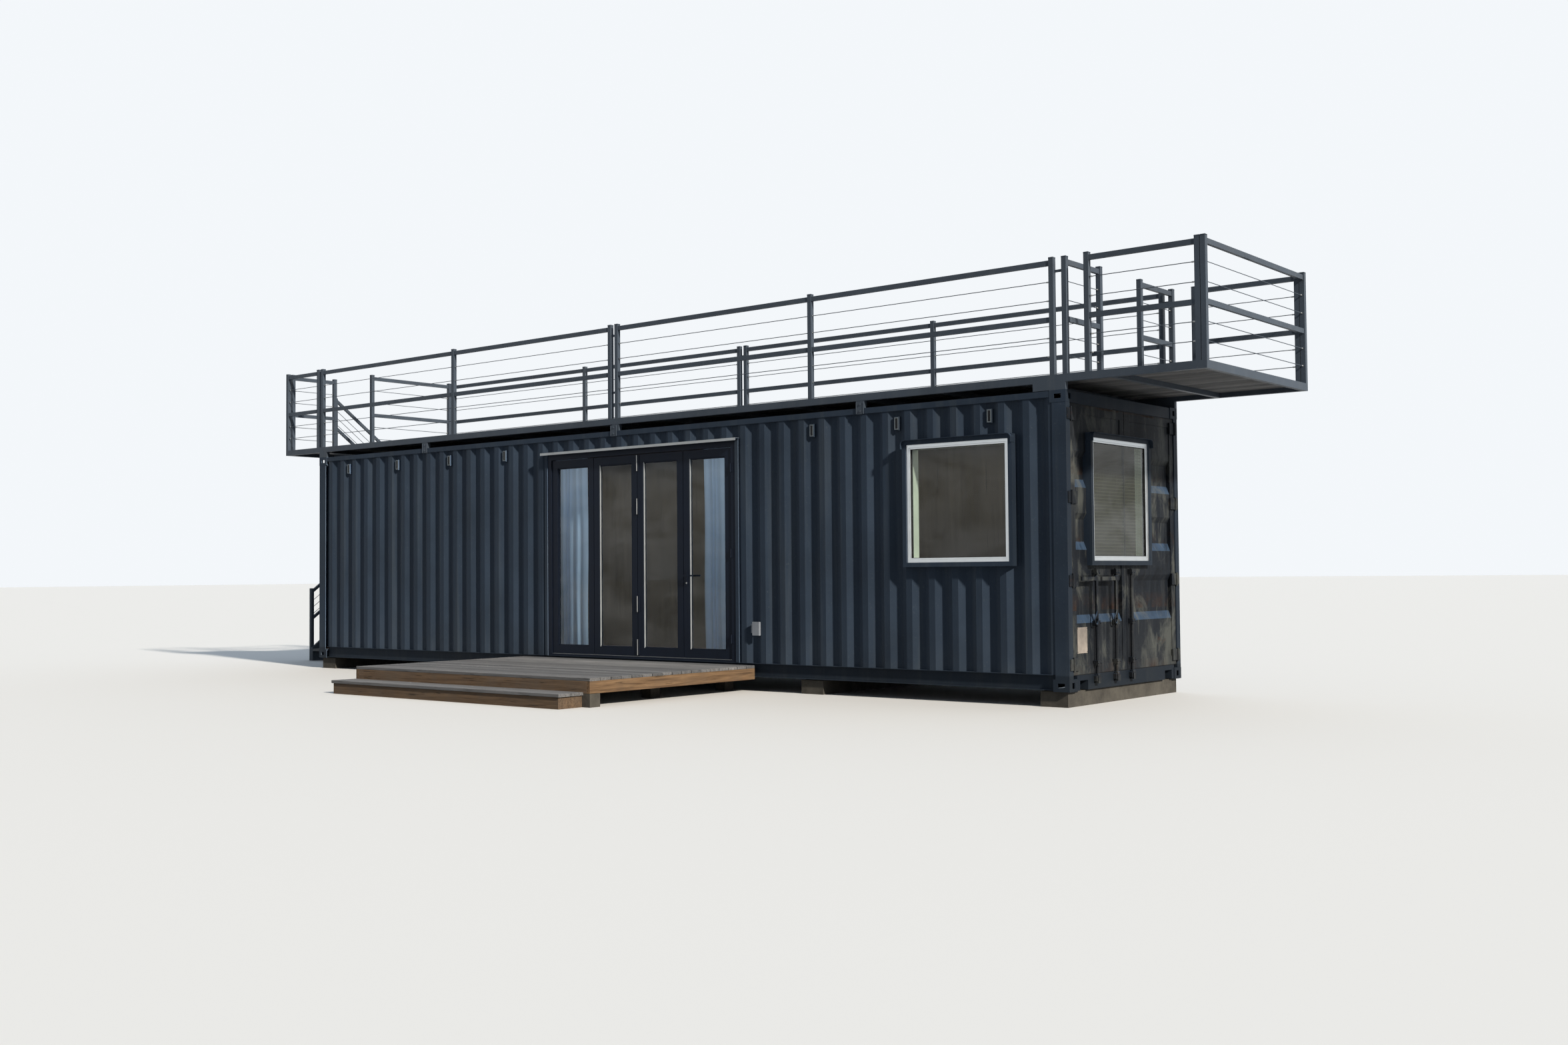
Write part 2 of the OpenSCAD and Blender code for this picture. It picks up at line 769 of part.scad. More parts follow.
module window_glass() {
  g = frame_set + 20;
  color([0.5, 0.6, 0.6, 0.4]) home() {
    block(win_x + win_face, win_x + win_w - win_face, -trim_out + g, -trim_out + g + glass_t,
      win_z + win_face, win_z + win_h - win_face);
    block(box_len + trim_out - g - glass_t, box_len + trim_out - g, end_y + win_face,
      end_y + end_w - win_face, win_z + win_face, win_z + win_h - win_face);
  }
}

// steel bars round the folding door's opening, with a drip cap over them
module door_surround() {
  z1 = door_top + door_lid;
  color(dark) home() {
    block(trim_x0, jamb_x0, 2, lining_set, zr, z1);
    block(jamb_x1, trim_x1, 2, lining_set, zr, z1);
    block(jamb_x0, jamb_x1, 2, lining_set, door_top, z1);
    block(trim_x0 - 20, trim_x1 + 20, -drip_out, sheet_set, z1, z1 + 6);
    block(trim_x0 - 20, trim_x1 + 20, -drip_out, -drip_out + 4, z1 - 22, z1);
  }
}

// outer frame with the traffic leaf's hinge barrels on its right jamb
module door_frame() {
  color(dark) home() {
    frame_y(jamb_x0, jamb_x1, jamb_y, jamb_y + jamb_d, zr, door_top,
      jamb_w, jamb_w, threshold_h, head_h);
    for (z = [leaf_z0 + barrel_end, (leaf_z0 + leaf_z1 - barrel_h) / 2, leaf_z1 - barrel_end - barrel_h]) {
      translate([pivot_x, pivot_y, z]) cylinder(d = barrel_d, h = barrel_h, $fn = 16);
      block(pivot_x, pivot_x + 34, jamb_y - 4, jamb_y + 1, z, z + barrel_h);
    }
  }
}

module glazed_leaf(x) {
  frame_y(x, x + leaf_w, leaf_y, leaf_y + leaf_t, leaf_z0, leaf_z1,
    stile_w, stile_w, leaf_rail, leaf_rail);
}

module leaf_pane(x) {
  block(x + stile_w, x + leaf_w - stile_w, leaf_y + leaf_t / 2 - glass_t / 2,
    leaf_y + leaf_t / 2 + glass_t / 2, leaf_z0 + leaf_rail, leaf_z1 - leaf_rail);
}

module folding_leaves() {
  color(dark) home() {
    for (i = [0 : 2]) glazed_leaf(leaf_x + i * (leaf_w + leaf_gap));
  }
}

module folding_glass() {
  color([0.5, 0.6, 0.6, 0.4]) home() {
    for (i = [0 : 2]) leaf_pane(leaf_x + i * (leaf_w + leaf_gap));
  }
}

module entry_leaf() {
  color(dark) home() glazed_leaf(leaf4_x);
}

module entry_glass() {
  color([0.5, 0.6, 0.6, 0.4]) home() leaf_pane(leaf4_x);
}

// plates, spindle and levers on both faces
module entry_handle() {
  xh = leaf4_x + stile_w / 2;
  color(dark) home() {
    block(xh - 16, xh + 16, leaf_y - 6, leaf_y, lever_z - 120, lever_z + 60);
    block(xh - 9, xh + 9, leaf_y - 50, leaf_y - 6, lever_z - 9, lever_z + 9);
    block(xh - 9, xh + 130, leaf_y - 50, leaf_y - 36, lever_z - 9, lever_z + 9);
    block(xh - 16, xh + 16, leaf_y + leaf_t, leaf_y + leaf_t + 6, lever_z - 120, lever_z + 60);
    block(xh - 9, xh + 9, leaf_y + leaf_t + 6, leaf_y + leaf_t + 46, lever_z - 9, lever_z + 9);
    block(xh - 9, xh + 130, leaf_y + leaf_t + 32, leaf_y + leaf_t + 46, lever_z - 9, lever_z + 9);
  }
}

// vent boxes between the ribs near the top, open below
module vent_boxes() {
  k1 = corr_n - 3;
  k0 = valley_past(trim_x1 + vent_clear);
  y1 = sheet_set + corr_depth;
  color(steel) home() {
    for (k = concat([for (i = [0 : 3]) 1 + i * vent_step], [k0, round((k0 + k1) / 2), k1]))
      translate([valley_x(k), y1 - vent_d, vent_z - vent_h / 2]) difference() {
        block(-vent_w / 2, vent_w / 2, 0, vent_d, 0, vent_h);
        block(-vent_w / 2 + 6, vent_w / 2 - 6, 6, vent_d - 6, -eps, vent_h - 10);
      }
  }
}

// cover on a box between the first ribs right of the folding door
module outlet_cover() {
  y0 = sheet_set - outlet_gap;
  y1 = sheet_set + corr_depth;
  x = outlet_side - outlet_w / 2;
  color(pale) home()
    translate([valley_x(valley_past(trim_x1)), 0, outlet_z - outlet_h / 2]) {
      block(4 - corr_flat / 2, corr_flat / 2 - 4, y0 - eps, y1, 25, outlet_h - 25);
      block(x, x + outlet_w, y0 - outlet_d, y0, 0, outlet_h);
    }
}

// boards on the walls, cut out round the door and the windows, and the ceiling board
module inner_linings() {
  y0 = lining_set;
  y1 = lining_set + lining_t;
  color(pale) home() {
    block(post_w, trim_x0, y0, y1, floor_top, ceiling_z);
    block(trim_x0 + eps, trim_x1 - eps, y0, y1, door_top, ceiling_z);
    difference() {
      block(trim_x1, lining_x1, y0, y1, floor_top, ceiling_z);
      block(win_x, win_x + win_w, y0 - eps, y1 + eps, win_z, win_z + win_h);
    }
    block(post_w, lining_x1, box_wid - y1, box_wid - y0, floor_top, ceiling_z);
    block(post_w, post_w + lining_t, y1 + eps, box_wid - y1 - eps, floor_top, ceiling_z);
    difference() {
      block(lining_x1 - lining_t, lining_x1, y1 + eps, box_wid - y1 - eps, floor_top, ceiling_z);
      block(lining_x1 - lining_t - eps, lining_x1 + eps, end_y, end_y + end_w, win_z, win_z + win_h);
    }
    block(post_w, lining_x1, y0, box_wid - y0, ceiling_z + hair, ceiling_z + hair + lining_t);
  }
}

module curtain_rail() {
  zt = ceiling_z;
  color(dark) home() {
    x0 = leaf_x - curtain_past - 20;
    x1 = leaves_x1 - curtain_in + 20;
    block(x0, x1, curtain_y + curtain_d / 2 - 10, curtain_y + curtain_d / 2 + 10, zt - 40, zt - 22);
    for (x = [x0 + 100, (x0 + x1) / 2, x1 - 100])
      block(x - 8, x + 8, curtain_y + curtain_d / 2 - 8, curtain_y + curtain_d / 2 + 8, zt - 22, zt);
  }
}

module curtains() {
  zt = ceiling_z - 44;
  color([0.75, 0.82, 0.9]) home() {
    for (x = [leaf_x - curtain_past, leaves_x1 - curtain_in - curtain_w])
      block(x, x + curtain_w, curtain_y, curtain_y + curtain_d, floor_top + 20, zt);
  }
}

// steel bars round the roof and the right extension with joists across and blocks down to
// the container, and the frame of the stair's head landing beside them
module terrace_frame() {
  color(steel) home() {
    block(0, ter_x1, 0, fascia_w, fas_z0, fas_z1);
    block(0, ter_x1, box_wid - fascia_w, box_wid, fas_z0, fas_z1);
    block(ter_x1 - fascia_w, ter_x1, 0, box_wid, fas_z0, fas_z1);
    block(0, fascia_w, 0, box_wid, fas_z0, fas_z1);
    n = 14;
    for (i = [1 : n - 1])
      block(ter_x1 * i / n, ter_x1 * i / n + joist_w, fascia_w, box_wid - fascia_w,
        fas_z0, fas_z1 - board_t);
    for (my = [0, 1]) translate([0, my * box_wid, 0]) mirror([0, my, 0]) {
      block(0, cast_l, 0, fascia_w, box_hgt, fas_z0);
      block(box_len - 2 * cast_l, box_len, 0, fascia_w, box_hgt, fas_z0);
      for (x = [0.2, 0.5, 0.8])
        block(x * box_len - clip_w / 2, x * box_len + clip_w / 2, 2, fascia_w, rail_z0 + top_rail, fas_z0);
    }
    difference() {
      block(ter_x0, -hair, 0, land_dep, fas_z0, fas_z1);
      block(ter_x0 + fascia_w, -hair - fascia_w, fascia_w, land_dep - fascia_w, fas_z0 - eps, fas_z1 + eps);
    }
  }
}

module board_field(x0, x1, y0, y1, z0, z1, w, gap) {
  n = floor((y1 - y0 + gap) / (w + gap));
  real_w = (y1 - y0 - (n - 1) * gap) / n;
  for (i = [0 : n - 1])
    block(x0, x1, y0 + i * (real_w + gap), y0 + i * (real_w + gap) + real_w, z0, z1);
}

module terrace_boards() {
  color(timber) home() {
    board_field(ter_x0 + fascia_w, -hair - fascia_w, fascia_w, land_dep - fascia_w, fas_z1 - board_t, fas_z1,
      board_w, board_gap);
    board_field(fascia_w, ter_x1 - fascia_w, fascia_w, box_wid - fascia_w, fas_z1 - board_t, fas_z1,
      board_w, board_gap);
  }
}

// one railing panel along +X from zero: posts at xs, two rails and four cables
module panel(l, xs) {
  for (x = xs) block(x, x + rpost, 0, rpost, 0, rail_h);
  for (z = [rail_top_z, rail_mid_z])
    block(0, l, 8, rpost - 8, z - bar_h / 2, z + bar_h / 2);
  for (z = [rail_mid_z / 3, rail_mid_z * 2 / 3, rail_mid_z + (rail_top_z - rail_mid_z) / 3,
      rail_mid_z + (rail_top_z - rail_mid_z) * 2 / 3])
    translate([rpost / 2, rpost / 2, z]) rotate([0, 90, 0]) cylinder(d = cable_d, h = l - rpost, $fn = 6);
}

half_l = (box_len - rail_in - rail_out - pair_gap) / 2;
module long_railing() {
  for (x = [rail_in, rail_in + half_l + pair_gap])
    translate([x, 0, 0]) panel(half_l, [0, (half_l - rpost) / 2, half_l - rpost]);
}

module long_railings() {
  color(steel) home() for (y = [0, box_wid - rpost]) translate([0, y, rail_z]) long_railing();
}

// panels beside the gateway at the cargo door end, and round the extension
module right_railings() {
  y2 = gate_y + gate_w;
  x0 = box_len + ext_in;
  l = ter_x1 - x0 - rpost - corner_gap;
  color(steel) home() translate([0, 0, rail_z]) {
    translate([box_len - gate_set + rpost, panel_gap, 0]) rotate([0, 0, 90])
      panel(gate_y - panel_gap, [0, gate_y - panel_gap - rpost]);
    translate([box_len - gate_set + rpost, y2, 0]) rotate([0, 0, 90])
      panel(box_wid - y2 - panel_gap, [0, box_wid - y2 - panel_gap - rpost]);
    translate([x0, 0, 0]) panel(l, [0, l - rpost]);
    translate([x0, box_wid - rpost, 0]) panel(l, [0, l - rpost]);
    translate([ter_x1, 0, 0]) rotate([0, 0, 90]) panel(box_wid, [0, box_wid - rpost]);
  }
}

// railing on the left end beside the landing, and round the landing
module left_railings() {
  l = box_wid - land_dep - rail_clear - rpost - panel_gap;
  color(steel) home() translate([0, 0, rail_z]) {
    translate([rpost, land_dep + rail_clear, 0]) rotate([0, 0, 90])
      panel(l, [0, l - rpost]);
    translate([ter_x0, 0, 0]) panel(ext_l - rail_clear, [0, ext_l - rail_clear - rpost]);
    translate([ter_x0 + rpost, rpost + panel_gap, 0]) rotate([0, 0, 90])
      panel(land_dep - rpost - panel_gap, [0, land_dep - 2 * rpost - panel_gap]);
  }
}

// extrude a Y and Z outline along X
module along_x(x0, x1) {
  translate([x0, 0, 0]) rotate([90, 0, 90]) linear_extrude(x1 - x0) children();
}

module stair_stringers() {
  color(steel) home() {
    for (x = [out_x0, out_x1 - string_t])
      translate([0, low_y0, ground]) along_x(x, x + string_t)
        stair_side(low_steps, 0);
    for (x = [in_x0, in_x1 - string_t])
      translate([0, half_y, half_z]) mirror([0, 1, 0]) along_x(x, x + string_t)
        stair_side(up_steps, 60);
  }
}

// sloping plate that carries the treads, its foot cut level
module stair_side(n, hang) {
  s = riser / going;
  l = (n - 1) * going;
  polygon([[0, -hang], [string_h, -hang], [l, (l - string_h) * s - hang], [l, n * riser],
    [l - string_lip / s, n * riser], [0, riser + string_lip]]);
}

module stair_treads() {
  color(timber) home() {
    for (i = [1 : low_steps - 1])
      block(out_x0 + string_t, out_x1 - string_t, low_y0 + (i - 1) * going,
        low_y0 + i * going + (i < low_steps - 1 ? tread_lap : 0),
        ground + i * riser - tread_t, ground + i * riser);
    for (i = [1 : up_steps - 1])
      block(in_x0 + string_t, in_x1 - string_t,
        half_y - i * going - (i < up_steps - 1 ? tread_lap : 0), half_y - (i - 1) * going,
        half_z + i * riser - tread_t, half_z + i * riser);
  }
}

// frame and boards
module half_landing() {
  color(steel) home() {
    difference() {
      block(out_x0, in_x1, half_y, half_y + half_d, half_z - landing_h, half_z);
      block(out_x0 + string_t, in_x1 - string_t, half_y + string_t, half_y + half_d - string_t,
        half_z - landing_h - eps, half_z - board_t);
    }
  }
}

module stair_columns() {
  color(steel) home() {
    for (x = [out_x0, in_x1 - column_w]) for (y = [half_y, half_y + half_d - column_w])
      block(x, x + column_w, y, y + column_w, ground, half_z - landing_h);
  }
}

// railing of a flight of n steps rising toward +Y: end posts, two sloping rails and three cables
module flight_railing(n, foot) {
  s = riser / going;
  l = (n - 1) * going;
  block(0, rpost, 0, rpost, foot, riser + stair_rail_z);
  block(0, rpost, l - rpost, l, (n - 1) * riser - string_h, n * riser + stair_rail_z - riser / 2);
  for (z = [stair_rail_z - bar_h, stair_rail_z / 2])
    translate([8, 0, 0]) rotate([90, 0, 90]) linear_extrude(rpost - 16)
      polygon([[0, riser + z], [l, l * s + riser + z - bar_h / 2],
        [l, l * s + riser + z - bar_h * 3 / 2], [0, riser + z - bar_h]]);
  for (k = [1, 2, 3])
    translate([rpost / 2, rpost / 2, riser + stair_rail_z / 2 - bar_h + k * (stair_rail_z / 2 - bar_h) / 4])
      rotate([-atan2(l, l * s - bar_h / 2), 0, 0])
        cylinder(d = cable_d, h = norm([l - rpost, (l - rpost) * s]), $fn = 6);
}

module stair_railings() {
  color(steel) home() {
    translate([out_x0 - rpost, low_y0, ground]) flight_railing(low_steps, 0);
    translate([in_x0 - rpost, half_y, half_z]) mirror([0, 1, 0]) flight_railing(up_steps, -string_h / 2);
    half_landing_panels();
  }
}

module half_landing_panels() {
  translate([0, 0, half_z]) {
    translate([out_x0 + rpost, half_y, 0]) rotate([0, 0, 90])
      panel(half_d - rpost - panel_gap, [0, half_d - 2 * rpost - panel_gap]);
    translate([in_x1, half_y, 0]) rotate([0, 0, 90])
      panel(half_d - rpost - panel_gap, [0, half_d - 2 * rpost - panel_gap]);
    translate([out_x0, half_y + half_d - rpost, 0])
      panel(in_x1 - out_x0, [0, (in_x1 - out_x0 - rpost) / 2, in_x1 - out_x0 - rpost]);
  }
}

// edge boards and joists
module deck_frame() {
  z0 = deck_top - joist_h;
  z1 = deck_top - plank_t;
  bay = (deck_len - joist_t) / 6;
  color(timber) home() {
    difference() {
      block(deck_x, deck_x1, -deck_dep, -deck_wall, z0, z1);
      for (i = [0 : 5])
        block(deck_x + joist_t + i * bay, deck_x + (i + 1) * bay, -deck_dep + joist_t,
          -deck_wall - joist_t, z0 - eps, z1 + eps);
    }
  }
}

module deck_boards() {
  color(timber) home()
    board_field(deck_x, deck_x1, -deck_dep, -deck_wall, deck_top - plank_t, deck_top, plank_w, plank_gap);
}

module deck_step() {
  x1 = deck_x1 - step_short;
  color(timber) home() {
    block(deck_x, x1, -deck_dep - step_dep, -deck_dep - hair, step_top - plank_t, step_top);
    block(deck_x + 20, x1 - 20, -deck_dep - step_dep + 15, -deck_dep - step_dep + 15 + joist_t,
      ground, step_top - plank_t);
    for (x = [deck_x + 20, (deck_x + x1 - joist_t) / 2, x1 - joist_t - 20])
      block(x, x + joist_t, -deck_dep - step_dep + 15, -deck_dep - hair, ground, step_top - plank_t);
  }
}

foundation_blocks();
corner_castings();
corner_posts();
side_rails();
door_header_and_sill();
cross_members();
floor_board();
roof_sheet();
front_wall_left();
front_wall_right();
front_wall_over_door();
back_wall();
left_end_wall();
cargo_doors();
cargo_door_hinges();
lock_rods();
blank_plate();
window_surrounds();
window_frames();
window_glass();
door_surround();
door_frame();
folding_leaves();
folding_glass();
entry_leaf();
entry_glass();
entry_handle();
vent_boxes();
outlet_cover();
inner_linings();
curtain_rail();
curtains();
terrace_frame();
terrace_boards();
long_railings();
right_railings();
left_railings();
stair_stringers();
stair_treads();
half_landing();
stair_columns();
stair_railings();
deck_frame();
deck_boards();
deck_step();
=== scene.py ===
import json
import math
import random

import bpy
import numpy as np
from mathutils import Matrix, Vector


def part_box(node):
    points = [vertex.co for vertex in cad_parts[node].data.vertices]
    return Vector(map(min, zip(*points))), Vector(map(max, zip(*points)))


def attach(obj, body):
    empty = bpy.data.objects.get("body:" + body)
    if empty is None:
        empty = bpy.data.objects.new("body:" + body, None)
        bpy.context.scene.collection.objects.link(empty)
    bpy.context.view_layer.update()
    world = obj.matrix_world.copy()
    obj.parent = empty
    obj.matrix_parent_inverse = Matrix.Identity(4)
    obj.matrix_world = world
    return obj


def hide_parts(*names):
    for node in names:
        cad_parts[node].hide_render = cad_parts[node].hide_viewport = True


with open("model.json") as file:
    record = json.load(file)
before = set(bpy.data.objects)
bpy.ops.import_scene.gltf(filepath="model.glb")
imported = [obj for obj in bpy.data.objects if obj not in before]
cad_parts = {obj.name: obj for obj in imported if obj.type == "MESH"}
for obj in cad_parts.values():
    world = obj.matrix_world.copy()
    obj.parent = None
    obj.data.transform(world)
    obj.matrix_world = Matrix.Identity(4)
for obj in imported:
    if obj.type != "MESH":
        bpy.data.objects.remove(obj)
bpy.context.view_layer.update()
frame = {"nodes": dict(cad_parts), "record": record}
random.seed(7)

CABIN, DOOR = "cabin", "entry_door"
X, Y, Z = 0, 1, 2

# Places are in millimetres from the container's left front bottom corner, as in the part's source.
# This is that corner in the row frame, in metres.
OX, OY, OZ = -6.096, -1.219, 0.150
# the container's length, in those millimetres
BOX_LEN = 12192


def at(x, y, z):
    """A point of the row frame, from those millimetres."""
    return Vector((OX + x / 1000, OY + y / 1000, OZ + z / 1000))


def to_mm(point):
    """A point of the row frame in those millimetres, each to the nearest whole one."""
    return [math.floor(round((c - origin) * 1000, 1) + 0.5) for c, origin in zip(point, (OX, OY, OZ))]


def box_mm(node):
    """(lowest corner, highest corner) of a CAD node, in those millimetres."""
    return [to_mm(corner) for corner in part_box(node)]


# Calls for node trees

def srgb(r, g, b):
    """A linear colour from its usual 0 to 255 values."""
    def linear(c):
        c /= 255
        return c / 12.92 if c <= 0.04045 else ((c + 0.055) / 1.055) ** 2.4
    return (linear(r), linear(g), linear(b), 1.0)


def scaled(color, factor):
    """The colour made darker or lighter."""
    return (*(min(1.0, c * factor) for c in color[:3]), 1.0)


class Nodes:
    """Short calls that add nodes to the tree of a material or of the world."""

    def __init__(self, tree):
        self.tree = tree
        self.tree.nodes.clear()

    def put(self, socket, value):
        """Links an output to this input, or sets the input's own value."""
        if isinstance(value, bpy.types.NodeSocket):
            self.tree.links.new(value, socket)
        else:
            socket.default_value = value

    def add(self, kind, **values):
        """A new node. A name that starts with _ is one of its settings, any other an input."""
        node = self.tree.nodes.new(kind)
        for name, value in values.items():
            if name.startswith("_"):
                setattr(node, name[1:], value)
            else:
                self.put(node.inputs[name], value)
        return node

    def math(self, operation, a, b=None):
        node = self.add("ShaderNodeMath", _operation=operation)
        self.put(node.inputs[0], a)
        if b is not None:
            self.put(node.inputs[1], b)
        return node.outputs[0]

    def vector_math(self, operation, a):
        """A vector node with its first input set."""
        node = self.add("ShaderNodeVectorMath", _operation=operation)
        self.put(node.inputs[0], a)
        return node

    def part(self, vector, axis):
        """One coordinate of a vector."""
        return self.add("ShaderNodeSeparateXYZ", Vector=vector).outputs[axis]

    def level(self, value, lo, hi, to_lo=0.0, to_hi=1.0):
        """The value with lo to hi mapped to to_lo to to_hi, and held there past both ends."""
        sockets = {"Value": value, "From Min": lo, "From Max": hi, "To Min": to_lo, "To Max": to_hi}
        return self.add("ShaderNodeMapRange", **sockets).outputs[0]

    def mix(self, share, a, b, blend="MIX"):
        """Colour a with the given share of colour b."""
        node = self.add("ShaderNodeMix", _data_type="RGBA", _blend_type=blend)
        for index, value in ((0, share), (6, a), (7, b)):
            self.put(node.inputs[index], value)
        return node.outputs[2]

    def mix_shaders(self, share, a, b):
        """Shader node a with the given share of shader node b."""
        node = self.add("ShaderNodeMixShader")
        for index, value in enumerate((share, a.outputs[0], b.outputs[0])):
            self.put(node.inputs[index], value)
        return node.outputs[0]

    def seen(self):
        """1 where the camera, a mirror or a pane looks, and 0 for light on the object."""
        path = self.add("ShaderNodeLightPath")
        direct = self.math("MAXIMUM", path.outputs["Is Camera Ray"], path.outputs["Is Glossy Ray"])
        return self.math("MAXIMUM", direct, path.outputs["Is Transmission Ray"])


class Surface(Nodes):
    """A material whose patterns lie in space, so that they run on from piece to piece."""

    def __init__(self, name):
        self.material = bpy.data.materials.new(name)
        self.material.use_nodes = True
        super().__init__(self.material.node_tree)
        self.output = self.add("ShaderNodeOutputMaterial")
        self.geometry = self.add("ShaderNodeNewGeometry")
        self.position = self.geometry.outputs["Position"]

    def facing(self, axis):
        """How far the face looks along an axis."""
        return self.part(self.geometry.outputs["True Normal"], axis)

    def tone(self):
        """The tone of a board, and on a curtain the painted shade of its folds."""
        return self.add("ShaderNodeAttribute", _attribute_name="tone").outputs["Fac"]

    def stretched(self, scale, source=None):
        return self.add("ShaderNodeMapping", Vector=source or self.position, Scale=scale).outputs[0]

    def noise(self, scale, detail=4.0, rough=0.55, vector=None, distortion=0.0):
        return self.add("ShaderNodeTexNoise", Vector=vector or self.position, Scale=scale,
                        Detail=detail, Roughness=rough, Distortion=distortion).outputs["Fac"]

    def bump(self, height, strength, distance, normal=None):
        node = self.add("ShaderNodeBump", Height=height, Strength=strength, Distance=distance)
        if normal is not None:
            self.put(node.inputs["Normal"], normal)
        return node.outputs[0]

    def finish(self, shader):
        """Takes the shader's output as the surface, and gives the material."""
        self.put(self.output.inputs[0], shader)
        return self.material

    def shade(self, color, rough, metal=0.0, spec=0.5, normal=None):
        node = self.add("ShaderNodeBsdfPrincipled", Roughness=rough, Metallic=metal)
        self.put(node.inputs["Base Color"], color)
        self.put(node.inputs["Specular IOR Level"], spec)
        if normal is not None:
            self.put(node.inputs["Normal"], normal)
        return self.finish(node.outputs[0])


# Materials

def painted_sky_light(s, tone, amount):
    """Paler and bluer on the slopes that look up: painted sky light."""
    up = s.level(s.facing(Z), 0.15, 0.33)
    up = s.math("MULTIPLY", up, s.level(s.noise(5, 5, 0.6), 0.2, 0.6, 0.35, 1.0))
    return s.mix(s.math("MULTIPLY", up, amount), tone, srgb(64, 84, 108))


def painted_dapples(s, tone, amount):
    """Large pale and dark patches: painted dapples of sunlight and shade."""
    # the noise places the dapples of painted sunlight and painted shade
    worn = s.noise(2.4, 6, 0.62, s.stretched((1.0, 1.5, 0.8)), 0.6)
    tone = s.mix(s.level(worn, 0.50, 0.64, 0.0, amount), tone, srgb(104, 106, 100))
    return s.mix(s.level(worn, 0.44, 0.36, 0.0, 0.6), tone, srgb(16, 18, 22))


def painted_end_and_rail_light(s, tone, left, right):
    """Scales the tone of what faces +X, by left at the stair end and by right at the cargo doors: painted
    sunlight and painted shade on those faces.

    The bottom rail is darker all round: painted shade under the wall's ledge, and grime.
    """
    turn = s.level(s.part(s.position, X), -5.6, 5.6, left - 1, right - 1)
    turn = s.math("ADD", 1.0, s.math("MULTIPLY", s.level(s.facing(X), 0.85, 0.95), turn))
    # painted shade, with grime, on the bottom rail under the wall's ledge
    rail_shade_and_grime = s.level(s.part(s.position, Z), 0.296, 0.312, 0.6, 1.0)
    node = s.vector_math("SCALE", tone)
    s.put(node.inputs["Scale"], s.math("MULTIPLY", turn, rail_shade_and_grime))
    return node.outputs[0]


def rusted(s, tone, rough, amount):
    """Brown spots, and rust in level rows that follow each other up the wall."""
    # height of a row, and how far under the ground the first one starts, in metres
    row, start = 0.66, 1.06
    spots = s.noise(1.7, 8, 0.72, s.stretched((1, 1, 2.2)), 0.4)
    spots = s.level(spots, 0.64 - 0.05 * amount, 0.76 - 0.04 * amount)
    foot = s.math("MODULO", s.math("ADD", s.part(s.position, Z), start), row)
    foot = s.math("MULTIPLY", s.level(foot, 0.03, 0.17, 1.0, 0.0),
                  s.level(s.noise(2.6, 6, 0.7), 0.46, 0.62))
    mask = s.math("MAXIMUM", spots, s.math("MULTIPLY", foot, 0.9))
    brown = s.mix(s.noise(21, 4), srgb(80, 54, 35), srgb(48, 36, 29))
    tone = s.mix(s.math("MULTIPLY", mask, 0.8 * amount), tone, brown)
    return tone, s.math("MAXIMUM", rough, s.math("MULTIPLY", mask, 0.85))


def paint(name, base, dusty, rough, dust, streak, spec=0.07, rust=0.0, sky=0.0, mottle=0.0, ends=None):
    """Sprayed steel: patchy tone, run-off streaks and dust low down, and what the options add: rust, and
    painted light, as sky light on the slopes that look up, dapples of sunlight and shade, and sunlight and
    shade on the faces toward +X.
    """
    s = Surface(name)
    patch = s.noise(0.9, 5, 0.6)
    tone = s.mix(s.level(patch, 0.3, 0.72), scaled(base, 0.82), scaled(base, 1.28))
    runs = s.noise(1.0, 6, 0.62, s.stretched((6.5, 6.5, 0.35)))
    tone = s.mix(s.level(runs, 0.50, 0.78, 0.0, streak * 0.6), tone, dusty)
    low = s.math("POWER", s.level(s.part(s.position, Z), 0.02, 1.05, 1.0, 0.0), 2.2)
    low = s.math("MULTIPLY", low, s.level(s.noise(3.2, 6, 0.7), 0.3, 0.75))
    tone = s.mix(s.math("MULTIPLY", low, dust), tone, dusty)
    tone = s.mix(s.level(s.noise(38, 3, 0.6), 0.62, 0.8, 0.0, 0.25), tone, dusty)
    if sky:
        tone = painted_sky_light(s, tone, sky)
    if mottle:
        tone = painted_dapples(s, tone, mottle)
    if ends:
        tone = painted_end_and_rail_light(s, tone, *ends)
    roughness = s.level(patch, 0.3, 0.7, rough - 0.06, rough + 0.12)
    if rust:
        tone, roughness = rusted(s, tone, roughness, rust)
    normal = s.bump(s.noise(240, 2, 0.5), 0.10, 0.001)
    normal = s.bump(s.noise(2.3, 2, 0.4), 0.35, 0.012, normal)
    return s.shade(tone, roughness, spec=spec, normal=normal)


def wood(name, light, dark, grain_axis, rough, grey=None, scale=1.0, relief=0.5):
    """Sawn timber with its grain along one axis, and another tone and grain on each board."""
    s = Surface(name)
    stretch = [34.0 * scale] * 3
    stretch[grain_axis] = 1.6 * scale
    tone = s.tone()
    shift = s.add("ShaderNodeCombineXYZ")
    for axis in (X, Y, Z):
        s.put(shift.inputs[axis], s.math("MULTIPLY", tone, 37.0 + 11 * axis))
    moved = s.vector_math("ADD", s.position)
    s.put(moved.inputs[1], shift.outputs[0])
    place = moved.outputs[0]
    grain = s.noise(1.0, 7, 0.62, s.stretched(stretch, place), 0.9)
    blotch = s.noise(3.5 * scale, 4, 0.6, place)
    color = s.mix(s.level(grain, 0.3, 0.7), dark, light)
    color = s.mix(s.level(blotch, 0.45, 0.75, 0, 0.55), color, grey or dark)
    board = s.mix(tone, (0.52, 0.51, 0.50, 1), (1.26, 1.21, 1.15, 1))
    color = s.mix(1.0, color, board, "MULTIPLY")
    crack = s.noise(1.0, 3, 0.5, s.stretched([v * 1.9 for v in stretch], place))
    crack = s.level(crack, 0.29, 0.36)
    color = s.mix(crack, scaled(dark, 0.35), color)
    normal = s.bump(grain, relief, 0.0025)
    normal = s.bump(crack, 0.6, 0.002, normal)
    return s.shade(color, rough, spec=0.3, normal=normal)


